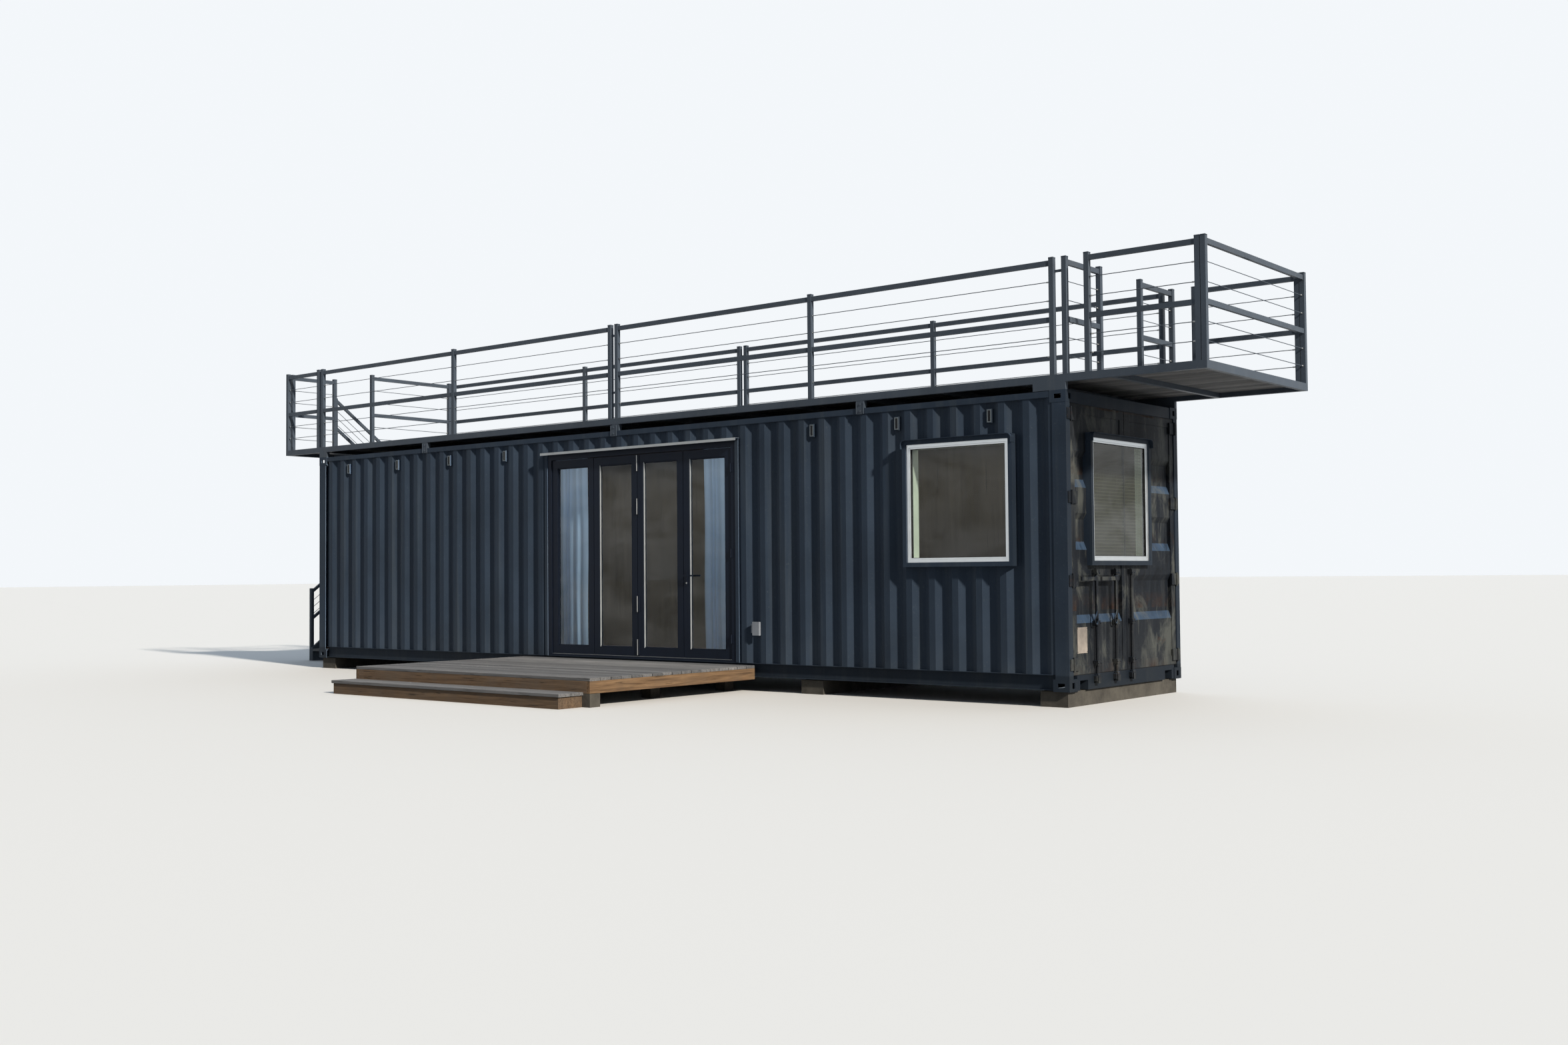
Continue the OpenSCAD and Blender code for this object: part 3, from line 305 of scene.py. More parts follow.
def plain(name, color, rough, metal=0.0, spec=0.5, wear=0.12, grain=90.0):
    """One finish all over, with a faint change of tone and roughness."""
    s = Surface(name)
    patch = s.noise(6, 5, 0.6)
    tone = s.mix(s.level(patch, 0.3, 0.7), scaled(color, 1 - wear), scaled(color, 1 + wear))
    roughness = s.level(patch, 0.3, 0.7, rough - 0.05, rough + 0.08)
    return s.shade(tone, roughness, metal, spec, s.bump(s.noise(grain, 3), 0.08, 0.001))


def concrete(name):
    s = Surface(name)
    patch = s.noise(5, 8, 0.65)
    pits = s.add("ShaderNodeTexVoronoi", Vector=s.position, Scale=55).outputs["Distance"]
    # tones darker than clean concrete: weathering, and painted shade under the container
    tone = s.mix(s.level(patch, 0.3, 0.7), srgb(66, 63, 58), srgb(98, 94, 86))
    normal = s.bump(s.level(pits, 0.05, 0.2), 0.3, 0.004)
    return s.shade(tone, 0.9, spec=0.3, normal=s.bump(patch, 0.5, 0.01, normal))


def pane(name, tint, shine):
    """Window glass: clear, with a reflection that grows toward a glancing view."""
    s = Surface(name)
    clear = s.add("ShaderNodeBsdfTransparent", Color=tint)
    ripple = s.bump(s.noise(0.7, 2), 0.15, 0.01)
    gloss = s.add("ShaderNodeBsdfGlossy", Roughness=0.015, Normal=ripple)
    mirror = s.add("ShaderNodeFresnel", IOR=1.5).outputs[0]
    # thin dust and smears make the reflection a little uneven
    smear = s.noise(1.3, 5, 0.6, s.stretched((0.8, 0.8, 1.6)), 0.8)
    smear = s.level(smear, 0.36, 0.66, 0.55 * shine, 1.5 * shine)
    share = s.math("MINIMUM", s.math("MULTIPLY", mirror, smear), 1.0)
    # the far face of the pane adds nothing, since the light isn't bent inside it
    near = s.math("SUBTRACT", 1.0, s.geometry.outputs["Backfacing"])
    return s.finish(s.mix_shaders(s.math("MULTIPLY", share, near), clear, gloss))


def screen_net(name):
    """Net over the end window: a square mesh of threads, mostly open."""
    s = Surface(name)
    mesh = 0.034
    threads = []
    for axis in (Y, Z):
        wave = s.math("SINE", s.math("MULTIPLY", s.part(s.position, axis), math.pi / mesh))
        threads.append(s.level(s.math("ABSOLUTE", wave), 0.80, 0.97))
    cover = s.math("MULTIPLY", s.math("MAXIMUM", *threads), 0.30)
    clear = s.add("ShaderNodeBsdfTransparent")
    thread = s.add("ShaderNodeBsdfDiffuse", Color=srgb(104, 102, 84))
    return s.finish(s.mix_shaders(s.math("ADD", cover, 0.10), clear, thread))


def cloth(name, color):
    """Thin curtain cloth that lets light through, with painted shade in the valleys of its folds."""
    s = Surface(name)
    tone = s.mix(s.level(s.noise(4, 4), 0.3, 0.7), scaled(color, 0.9), color)
    # painted shade: darker where the cloth lies deep in a fold
    tone = s.mix(s.level(s.tone(), 0.1, 0.8), scaled(color, 0.5), tone)
    weave = s.bump(s.noise(900, 2, 0.5), 0.15, 0.0008)
    front = s.add("ShaderNodeBsdfDiffuse", Color=tone, Normal=weave)
    through = s.add("ShaderNodeBsdfTranslucent", Color=tone)
    return s.finish(s.mix_shaders(0.55, front, through))


MATERIALS = {
    # ends paints sunlight on the faces toward +X at the stair end, and shade on those at the cargo doors
    # and on the bottom rail
    "navy_steel": paint("navy_steel_paint_with_painted_light", srgb(53, 64, 78), srgb(104, 110, 112), 0.5,
                        dust=0.3, streak=0.4, ends=(4.0, 0.5)),
    # sky paints sky light on the slopes that look up, and mottle paints dapples of sunlight and shade
    "worn_steel": paint("worn_steel_paint_with_painted_light", srgb(28, 32, 38), srgb(92, 94, 94), 0.55,
                        dust=0.4, streak=0.8, rust=0.7, sky=0.75, mottle=0.5),
    "railing_steel": paint("railing_paint", srgb(70, 79, 90), srgb(118, 122, 124), 0.48,
                           dust=0.1, streak=0.3, spec=0.2, rust=0.1),
    "dark_aluminium": plain("dark_aluminium_coat", srgb(26, 33, 46), 0.45, spec=0.1),
    "silver_aluminium": plain("silver_anodised", srgb(206, 210, 212), 0.34, metal=0.85, wear=0.05),
    "bare_plate": plain("bare_plate_metal", srgb(158, 148, 138), 0.6, metal=0.3, spec=0.4, wear=0.3),
    "glass": pane("window_pane", (0.93, 0.96, 0.95, 1), 0.9),
    "white_plastic": plain("cover_plastic", srgb(144, 150, 158), 0.4, spec=0.4, wear=0.1, grain=30.0),
    "floor_wood": wood("floor_planks", srgb(100, 74, 50), srgb(66, 46, 30), X, 0.5, scale=0.8),
    "lining_wood": wood("lining_boards", srgb(92, 84, 68), srgb(68, 61, 48), Z, 0.7,
                        scale=0.5, relief=0.15),
    "pale_fabric": cloth("curtain_cloth", srgb(190, 218, 255)),
    "deck_timber": wood("deck_boards_wood", srgb(143, 144, 147), srgb(90, 91, 93), X, 0.85,
                        grey=srgb(116, 121, 127)),
    "deck_edge": wood("deck_edge_wood", srgb(132, 110, 88), srgb(82, 66, 52), X, 0.82,
                      grey=srgb(104, 94, 84)),
    "deck_cross": wood("deck_cross_wood", srgb(142, 116, 88), srgb(76, 58, 42), Y, 0.82,
                       grey=srgb(98, 84, 70)),
    "concrete": concrete("cast_concrete"),
    "rubber": plain("black_rubber", srgb(20, 20, 21), 0.7, spec=0.3),
    "flashing": plain("flashing_metal", srgb(168, 172, 174), 0.5, metal=0.35),
    "zinc": plain("galvanised", srgb(150, 152, 152), 0.42, metal=0.8, wear=0.1),
    "screen": screen_net("insect_screen"),
    # the pale bead is a painted highlight of the sun on the beads' edges
    "outside_bead": plain("bead_strip_painted_highlight", srgb(158, 162, 164), 0.45, metal=0.3),
    # the pale rim is a painted highlight on the vents' edges
    "vent_rim": plain("vent_rim_painted_highlight", srgb(110, 118, 123), 0.5, spec=0.3),
    "reveal": plain("window_reveal_paint", srgb(196, 204, 190), 0.6, spec=0.3, wear=0.05),
}

for subpart in frame["record"]["subparts"]:
    cad_mesh = frame["nodes"][subpart["node"]].data
    cad_mesh.materials.clear()
    cad_mesh.materials.append(MATERIALS[subpart["material_slot"]])


# Calls for meshes

def add_bevel(piece, width, least_angle):
    """Rounds the piece's edges, in metres, where they turn by more than least_angle degrees."""
    bevel = piece.modifiers.new("edge", "BEVEL")
    bevel.width = width
    bevel.segments = 2
    bevel.limit_method = "ANGLE"
    bevel.angle_limit = math.radians(least_angle)


def link(name, mesh, material):
    """Puts a mesh in the scene with one of the materials."""
    mesh.materials.append(material)
    piece = bpy.data.objects.new(name, mesh)
    bpy.context.scene.collection.objects.link(piece)
    return piece


def smooth(mesh):
    for face in mesh.polygons:
        face.use_smooth = True


class Shape:
    """Collects boxes and rods into one mesh, each with a tone that the wood reads."""

    def __init__(self):
        self.points, self.faces, self.tones = [], [], []

    def add(self, points, faces, tone=0.5):
        first = len(self.points)
        self.points += [tuple(p) for p in points]
        self.faces += [tuple(first + i for i in face) for face in faces]
        self.tones += [tone] * len(points)

    def box(self, lo, hi, tone=0.5):
        """A box between two points of the row frame."""
        (x0, y0, z0), (x1, y1, z1) = lo, hi
        self.add([(x0, y0, z0), (x1, y0, z0), (x1, y1, z0), (x0, y1, z0),
                  (x0, y0, z1), (x1, y0, z1), (x1, y1, z1), (x0, y1, z1)],
                 [(0, 3, 2, 1), (4, 5, 6, 7), (0, 1, 5, 4), (1, 2, 6, 5), (2, 3, 7, 6), (3, 0, 4, 7)],
                 tone)

    def box_mm(self, x0, x1, y0, y1, z0, z1, tone=0.5):
        """A box in the container's millimetres."""
        self.box(at(x0, y0, z0), at(x1, y1, z1), tone)

    def rod(self, start, end, radius, sides, end_radius=None):
        """A rod between two points of the row frame, or a cone where end_radius is given."""
        start, end = Vector(start), Vector(end)
        along = (end - start).normalized()
        u = along.orthogonal().normalized()
        w = along.cross(u)
        far = radius if end_radius is None else end_radius
        turns = [2 * math.pi * i / sides for i in range(sides)]
        ring = [u * math.cos(a) + w * math.sin(a) for a in turns]
        walls = [(i, (i + 1) % sides, sides + (i + 1) % sides, sides + i) for i in range(sides)]
        ends = [tuple(range(sides - 1, -1, -1)), tuple(range(sides, 2 * sides))]
        self.add([start + r * radius for r in ring] + [end + r * far for r in ring], walls + ends)

    def make(self, name, material, body=CABIN, bevel=0.0, round_sides=False, slot=None):
        """The collected mesh as one piece that rides on a body."""
        mesh = bpy.data.meshes.new(name)
        mesh.from_pydata(self.points, [], self.faces)
        mesh.attributes.new("tone", "FLOAT", "POINT").data.foreach_set("value", self.tones)
        if round_sides:
            smooth(mesh)
        piece = link(name, mesh, MATERIALS[material])
        if bevel:
            add_bevel(piece, bevel, 30)
        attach(piece, body)
        return piece


def solids_of(node):
    """(lowest corner, highest corner) of each solid of a CAD node, sorted by Y, X and Z."""
    mesh = frame["nodes"][node].data
    parent = list(range(len(mesh.vertices)))
    first_at = {}
    for v in mesh.vertices:
        parent[v.index] = first_at.setdefault(tuple(round(c, 5) for c in v.co), v.index)

    def root(i):
        while parent[i] != i:
            parent[i] = parent[parent[i]]
            i = parent[i]
        return i

    for edge in mesh.edges:
        a, b = (root(i) for i in edge.vertices)
        parent[a] = b
    groups = {}
    for v in mesh.vertices:
        groups.setdefault(root(v.index), []).append(v.co)
    boxes = [(Vector(np.min(group, 0)), Vector(np.max(group, 0))) for group in groups.values()]
    return sorted(boxes, key=lambda box: [round(box[0][axis], 3) for axis in (Y, X, Z)])


# Rounded edges on the CAD pieces, by the bevel's width in metres
EDGES = {
    0.008: ("foundation_blocks", "outlet_cover"),
    0.006: ("front_wall_left", "front_wall_right", "front_wall_over_door", "back_wall", "left_end_wall"),
    0.004: ("corner_castings", "vent_boxes"),
    0.003: ("window_surrounds", "folding_leaves", "entry_leaf", "entry_handle", "door_surround",
            "cargo_doors", "long_railings", "right_railings", "left_railings", "stair_railings",
            "terrace_frame", "side_rails", "corner_posts", "half_landing", "stair_stringers"),
    0.002: ("window_frames", "door_frame", "cargo_door_hinges", "lock_rods"),
}
for edge_width, nodes in EDGES.items():
    for node in nodes:
        add_bevel(frame["nodes"][node], edge_width, 25)


# Boards, deck and step

def boards(node, name, bevel=0.003):
    """Boards along X in place of a node's, each with its own tone, a slight bow and uneven ends."""
    # about how far apart the points of a board's bow are, in metres
    stretch = 0.35
    shape = Shape()
    for lo, hi in solids_of(node):
        x0 = lo.x + random.uniform(0.0, 0.004)
        x1 = hi.x - random.uniform(0.0, 0.004)
        top = hi.z - random.uniform(0.0, 0.0015)
        bow = random.uniform(-0.0012, 0.0012)
        count = max(2, int((hi.x - lo.x) / stretch))
        points, faces = [], []
        for i in range(count + 1):
            x = x0 + (x1 - x0) * i / count
            y0, y1 = (y + bow * math.sin(math.pi * i / count) for y in (lo.y, hi.y))
            points += [(x, y0, lo.z), (x, y1, lo.z), (x, y1, top), (x, y0, top)]
        for i in range(0, 4 * count, 4):
            faces += [(i + a, i + b, i + 4 + b, i + 4 + a) for a, b in ((0, 1), (1, 2), (2, 3), (3, 0))]
        faces += [(3, 2, 1, 0), tuple(4 * count + i for i in range(4))]
        shape.add(points, faces, random.random())
    piece = shape.make(name, "deck_timber", bevel=bevel, slot="deck_timber")
    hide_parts(node)


boards("deck_boards", "deck_planks")
boards("terrace_boards", "terrace_planks")
boards("stair_treads", "stair_tread_boards", bevel=0.004)

# thickness of the deck's and the step's upright boards
JOIST = 45


def add_screw(shape, x, y, z):
    """A screw's flat head in a board whose face is at z."""
    head = at(x, y, z)
    shape.rod(head - Vector((0, 0, 0.003)), head + Vector((0, 0, 0.0006)), 0.0042, 8, 0.00336)


def timber_deck():
    """The deck's frame as single boards, with screws over each joist and along the step."""
    (x0, y0, z0), (x1, y1, z1) = box_mm("deck_frame")
    deck_top = box_mm("deck_boards")[1][Z]
    # half a millimetre under the planks
    z1 -= 0.5
    bays, inset = 6, JOIST + 1
    bay = (x1 - x0 - JOIST) / bays
    edges, joists, screws = Shape(), Shape(), Shape()
    for y in (y0, y1 - JOIST):
        edges.box_mm(x0 + inset, x1 - inset, y, y + JOIST, z0, z1, random.random())
    for i in range(bays + 1):
        x = x0 + i * bay
        short = 0 if i in (0, bays) else inset
        joists.box_mm(x, x + JOIST, y0 + short, y1 - short, z0, z1, random.random())
    piece = edges.make("deck_edge_boards", "deck_edge", bevel=0.003, slot="deck_timber")
    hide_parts("deck_frame")
    joists.make("deck_joists", "deck_cross", bevel=0.003, slot="deck_timber")

    for lo, hi in solids_of("deck_boards"):
        for i in range(bays + 1):
            x = x0 + i * bay + JOIST // 2
            for share in (0.22, 0.78):
                y = (lo.y + (hi.y - lo.y) * share - OY) * 1000
                add_screw(screws, x + random.uniform(-5, 5), y + random.uniform(-4, 4), deck_top - 1)
    (x0, y0, _), (x1, _, step_top) = box_mm("deck_step")
    apart = 520
    for x in range(x0 + 60, x1 - 40, apart):
        for y in (y0 + 80, y0 + 250):
            add_screw(screws, x, y, step_top)
    screws.make("deck_screws", "zinc")


def deck_step():
    """The step in front of the deck: two treads on a front board and three short joists."""
    (x0, y0, z0), (x1, y1, z1) = box_mm("deck_step")
    # how far the treads stand out at the ends and in front, their thickness and the gap between them
    nosing, overhang, plank, gap = 20, 15, 32.5, 5
    under, middle, front = z1 - plank, (y0 + y1) / 2, y0 + overhang
    treads, risers = Shape(), Shape()
    treads.box_mm(x0, x1, y0, middle - gap / 2, under, z1, 0.62)
    treads.box_mm(x0 + 3, x1 - 2, middle + gap / 2, y1, under, z1 - 1, 0.45)
    risers.box_mm(x0 + nosing, x1 - nosing, front, front + JOIST, z0, under, 0.55)
    for x in (x0 + nosing, (x0 + x1 - JOIST) / 2, x1 - nosing - JOIST):
        risers.box_mm(x, x + JOIST, front + JOIST + 0.5, y1, z0, under, 0.5)
    piece = treads.make("deck_step_treads", "deck_timber", bevel=0.003, slot="deck_timber")
    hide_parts("deck_step")
    risers.make("deck_step_risers", "deck_edge", bevel=0.003, slot="deck_timber")


timber_deck()
deck_step()


# Terrace

# width of a railing post, and how high the middles of the two rails are above the terrace
POST, MID_RAIL, TOP_RAIL = 50, 535, 1086
# a panel longer than this has a third post halfway
LONG_PANEL = 4000
# x0, x1, y0, y1 of the short bars that tie two neighbouring posts together
POST_LINKS = ((6020, 6085, 19, 31), (6020, 6085, 2407, 2419), (12075, 12150, 33, 43),
              (12075, 12150, 2395, 2405), (13568, 13576, 19, 31), (-20, 31, 19, 31))
# how high their lower edges are above the terrace, and how high a bar is itself
LINKS_UP, LINK = (990, 300), 26


def railing_posts():
    """(axis along the panel, post's corner, sides where its cables are) of each post."""
    posts = []
    for node in ("long_railings", "right_railings", "left_railings"):
        for panel in solids_of(node):
            lo, hi = (to_mm(corner) for corner in panel)
            axis = X if hi[X] - lo[X] > hi[Y] - lo[Y] else Y
            length = hi[axis] - lo[axis]
            last = length - POST
            for step in (0, last / 2, last) if length > LONG_PANEL else (0, last):
                corner = lo[:Z]
                corner[axis] += step
                sides = (1,) if step == 0 else (-1,) if step == last else (-1, 1)
                posts.append((axis, corner, sides))
    return posts


def railing_trim():
    """Caps on the posts, links between neighbouring posts, and the ends of the cables."""
    foot, top = (corner[Z] for corner in box_mm("long_railings"))
    terrace_end = box_mm("terrace_frame")[1][X]
    cables = [foot + MID_RAIL * k / 3 for k in (1, 2)]
    cables += [foot + MID_RAIL + (TOP_RAIL - MID_RAIL) * k / 3 for k in (1, 2)]
    # how far a cap laps over its post
    lap = 2
    caps, links, fittings = Shape(), Shape(), Shape()
    for box in POST_LINKS:
        for up in LINKS_UP:
            links.box_mm(*box, foot + up, foot + up + LINK)
    for axis, (x, y), sides in railing_posts():
        caps.box_mm(x - lap, min(x + POST + lap, terrace_end), y - lap, y + POST + lap, top - 12, top - 1.5)
        # a panel's end posts hold the cables' long fittings, a middle post has a short one on each side
        reach = 34 if len(sides) == 1 else 8
        for z in cables:
            for side in sides:
                start = [x + POST / 2, y + POST / 2, z]
                start[axis] += side * POST / 2
                end = list(start)
                end[axis] += side * reach
                fittings.rod(at(*start), at(*end), 0.0075, 8)
    caps.make("railing_post_caps", "railing_steel", bevel=0.003)
    links.make("railing_links", "railing_steel", bevel=0.002)
    fittings.make("cable_fittings", "zinc", round_sides=True)


def terrace_brackets():
    """Bolted plates that hold the terrace to the container's front top rail."""
    places, z0, z1 = (2438, 6066, 9754), 2828, 2960
    half, lip, face = 50, 8, -4.5
    plates = Shape()
    for x in places:
        plates.box_mm(x - half, x + half, face, 1.5, z0, z1)
        for x0 in (x - half, x + half - lip):
            plates.box_mm(x0, x0 + lip, -9, face, z0 + 4, z1 - 4)
        for z in (z0 + 30, z1 - 30):
            plates.rod(at(x, face, z), at(x, -12, z), 0.011, 6)
            plates.rod(at(x, face, z), at(x, -6.5, z), 0.017, 14)
    plates.make("terrace_brackets", "railing_steel", bevel=0.0015)


railing_trim()
terrace_brackets()


# Vents

def vent_trim():
    """A pale rim as a painted highlight, a dark sheet of painted shade in the mouth, and five slats on each
    vent box, in metres.
    """
    # widths of the rim's upright and level bars, and the number of slats
    side, end, count = 0.008, 0.010, 5
    rim_highlights, slats, mouth_shades = Shape(), Shape(), Shape()
    for lo, hi in solids_of("vent_boxes"):
        x0, x1, z0, z1, y = lo.x + 0.006, hi.x - 0.006, lo.z + 0.007, hi.z - 0.007, lo.y
        for a0, a1, b0, b1 in ((x0, x0 + side, z0, z1), (x1 - side, x1, z0, z1),
                               (x0 + side, x1 - side, z0, z0 + end), (x0 + side, x1 - side, z1 - end, z1)):
            rim_highlights.box((a0, y - 0.003, b0), (a1, y + 0.001, b1))
        # a dark sheet in the mouth: painted shade of the vent's opening
        mouth_shades.box((x0 + 0.009, y - 0.0006, z0 + 0.011), (x1 - 0.009, y + 0.001, z1 - 0.011))
        for k in range(count):
            z = z0 + 0.022 + k * (z1 - z0 - 0.046) / (count - 1)
            slats.box((x0 + 0.010, y - 0.002, z - 0.0015), (x1 - 0.010, y - 0.0006, z + 0.0015))
    rim_highlights.make("vent_rims", "vent_rim", bevel=0.0008)
    slats.make("vent_slats", "dark_aluminium")
    mouth_shades.make("vent_mouths", "rubber")


vent_trim()


# Cargo door end

def cargo_door_seals():
    """Rubber in the gaps round and between the two cargo doors."""
    (_, y0, z0), (face, y1, z1) = box_mm("cargo_doors")
    # width of the gaps, and how much narrower the rubber is on each side
    gap, slack = 8, 0.5
    middle = (y0 + y1) / 2
    back, front = face - 30, face - 5
    seals = Shape()
    for y in (y0 - gap, middle - gap / 2, y1):
        seals.box_mm(back, front, y + slack, y + gap - slack, z0 - gap + slack, z1 + gap - slack)
    for z in (z0 - gap, z1):
        for a0, a1 in ((y0, middle - gap / 2), (middle + gap / 2, y1)):
            seals.box_mm(back, front, a0 + 1, a1 - 1, z + slack, z + gap - slack)
    seals.make("cargo_door_seals", "rubber")


# half the width of a lock rod's guides, and where the rods stand, just past the container's end
GUIDE_HALF, ROD_X = 31, BOX_LEN + 17
LOCK_RODS = [to_mm(hi)[Y] - GUIDE_HALF for lo, hi in solids_of("lock_rods")]
# heights of the middles of the guides
ROD_GUIDES = (255, 645, 1134)
# the first two rods have a handle, whose middle is at this height
HANDLE_RODS, HANDLE_Z = LOCK_RODS[:2], 1079


def lock_rod_trim():
    """Bolts on the rods' guides, a cam between two keepers at each foot, and handle hubs."""
    # half a cam's width, the gap beside it, a keeper's width, and how far a catch is from its rod
    cam, gap, keeper, catch = 24, 4, 12, 150
    trim = Shape()
    for y in LOCK_RODS:
        for z in ROD_GUIDES:
            for side in (y - 25, y + 25):
                trim.rod(at(ROD_X + 21, side, z), at(ROD_X + 30, side, z), 0.006, 6)
        trim.box_mm(ROD_X - 19, ROD_X + 19, y - cam, y + cam, 124, 150)
        for side in (y - cam - gap - keeper, y + cam + gap):
            trim.box_mm(ROD_X - 23, ROD_X + 13, side, side + keeper, 78, 134)
    for y in HANDLE_RODS:
        trim.rod(at(ROD_X, y, HANDLE_Z - 27), at(ROD_X, y, HANDLE_Z + 27), 0.025, 14)
        trim.rod(at(ROD_X + 19, y - catch, HANDLE_Z), at(ROD_X + 27, y - catch, HANDLE_Z), 0.011, 6)
    trim.make("lock_rod_fittings", "worn_steel", bevel=0.002)


def bent_rod(name, points, radius, material):
    """A round bar bent through the given points."""
    curve = bpy.data.curves.new(name, "CURVE")
    curve.dimensions = "3D"
    curve.bevel_depth = radius
    curve.bevel_resolution = 3
    spline = curve.splines.new("NURBS")
    spline.points.add(len(points) - 1)
    for knot, point in zip(spline.points, points):
        knot.co = (*point, 1)
    spline.order_u = 3
    spline.use_endpoint_u = True
    spline.resolution_u = 6
    outline = bpy.data.objects.new(name + "_curve", curve)
    bpy.context.scene.collection.objects.link(outline)
    mesh = bpy.data.meshes.new_from_object(outline)
    bpy.data.objects.remove(outline)
    mesh.name = name
    mesh.materials.clear()
    smooth(mesh)
    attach(link(name, mesh, MATERIALS[material]), CABIN)


# y from the rod, and height, of the bends in the loop that hangs from a handle
HANDLE_LOOP = ((-33, 770), (-40, 740), (-78, 700), (-82, 650), (-50, 628), (-22, 650), (-20, 690))


def handle_loops():
    for number, rod_y in enumerate(HANDLE_RODS, 1):
        bends = [at(ROD_X + 23, rod_y + y, z) for y, z in HANDLE_LOOP]
        bent_rod("handle_loop_%d" % number, bends, 0.008, "worn_steel")


def door_marks():
    """A weld line across each door's foot, and a rivet at each corner of the bare plate."""
    # from a door's edges to the ends of the line, and from its foot up to the line
    inset, up = 91, 180
    marks = Shape()
    for door in solids_of("cargo_doors"):
        (_, y0, z0), (face, y1, _) = (to_mm(corner) for corner in door)
        marks.box_mm(face - 7, face - 4, y0 + inset, y1 - inset, z0 + up, z0 + up + 6)
    (_, y0, z0), (face, y1, z1) = box_mm("blank_plate")
    for y in (y0 + 6, y1 - 6):
        for z in (z0 + 12, z1 - 12):
            marks.rod(at(face, y, z), at(face + 2, y, z), 0.004, 8)
    marks.make("door_weld_and_rivets", "worn_steel")


cargo_door_seals()
lock_rod_trim()
handle_loops()
door_marks()


# Windows

def window(frame_box, axis):
    """(start across the wall, end across it, bottom, top) of a window, from its frame's box."""
    lo, hi = (to_mm(corner) for corner in frame_box)
    return lo[axis], hi[axis], lo[Z], hi[Z]


front_frame, end_frame = solids_of("window_frames")
FRONT_WINDOW, END_WINDOW = window(front_frame, X), window(end_frame, Y)
# how far the sash bars are in from the window's edge, how wide they are, and where they end
SASH_IN, SASH = 30, 16
SASH_END = SASH_IN + SASH


def front_box(shape, across0, across1, z0, z1, depth0, depth1):
    """A box in the front wall, with its depth from the container's front."""
    shape.box_mm(across0, across1, depth0, depth1, z0, z1)


def end_box(shape, across0, across1, z0, z1, depth0, depth1):
    """A box in the cargo door end, with its depth from the container's end."""
    shape.box_mm(BOX_LEN - depth1, BOX_LEN - depth0, across0, across1, z0, z1)


def window_ring(shape, box, place, inset, width, depth0, depth1):
    """Four bars round the inside of a window."""
    a0, a1, z0, z1 = place
    a0, a1, z0, z1 = a0 + inset, a1 - inset, z0 + inset, z1 - inset
    for bar in ((a0, a0 + width, z0, z1), (a1 - width, a1, z0, z1),
                (a0 + width, a1 - width, z0, z0 + width), (a0 + width, a1 - width, z1 - width, z1)):
        box(shape, *bar, depth0, depth1)


def window_trim():
    """Sash bars, gaskets, latches and painted reveals."""
    gasket, reveal, half_latch = 4, 9, 60
    sashes, gaskets, latches, reveals = Shape(), Shape(), Shape(), Shape()
    for place, box in ((FRONT_WINDOW, front_box), (END_WINDOW, end_box)):
        window_ring(sashes, box, place, SASH_IN, SASH, -21, 22)
        window_ring(gaskets, box, place, SASH_END, gasket, -18, 14)
        start, end, bottom, _ = place
        middle = (start + end) / 2
        box(latches, middle - half_latch, middle + half_latch, bottom + 34, bottom + 44, 24, 40)
    window_ring(reveals, front_box, FRONT_WINDOW, 34, reveal, 30, 128)
    window_ring(reveals, end_box, END_WINDOW, 1, reveal, 30, 116)
    sashes.make("window_sashes", "silver_aluminium", bevel=0.002, slot="silver_aluminium")
    gaskets.make("window_gaskets", "rubber")
    latches.make("window_latches", "silver_aluminium", bevel=0.003)
    reveals.make("window_reveals", "reveal", bevel=0.001)


def insect_screen():
    """A flat net stretched inside the end window's sash."""
    x, (y0, y1, z0, z1) = BOX_LEN - 24, END_WINDOW
    y0, y1, z0, z1 = y0 + SASH_END, y1 - SASH_END, z0 + SASH_END, z1 - SASH_END
    mesh = bpy.data.meshes.new("end_window_screen")
    corners = [at(x, y, z) for y, z in ((y0, z0), (y1, z0), (y1, z1), (y0, z1))]
    mesh.from_pydata(corners, [], [(0, 1, 2, 3)])
    net = link("end_window_screen", mesh, MATERIALS["screen"])
    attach(net, CABIN)


window_trim()
insect_screen()


# Folding door

(LEAF_X, _, LEAF_Z0), (leaf_end, _, LEAF_Z1) = (to_mm(corner) for corner in solids_of("folding_leaves")[0])
(pane_x, PANE_Y0, pane_z), (_, PANE_Y1, _) = box_mm("folding_glass")
ENTRY_X = box_mm("entry_leaf")[0][X]
# the entry door is the fourth leaf
LEAF_STEP = (ENTRY_X - LEAF_X) // 3
LEAF_W = leaf_end - LEAF_X
LEAF_GAP = LEAF_STEP - LEAF_W
# widths of a leaf's upright and level bars
STILE, RAIL = pane_x - LEAF_X, pane_z - LEAF_Z0


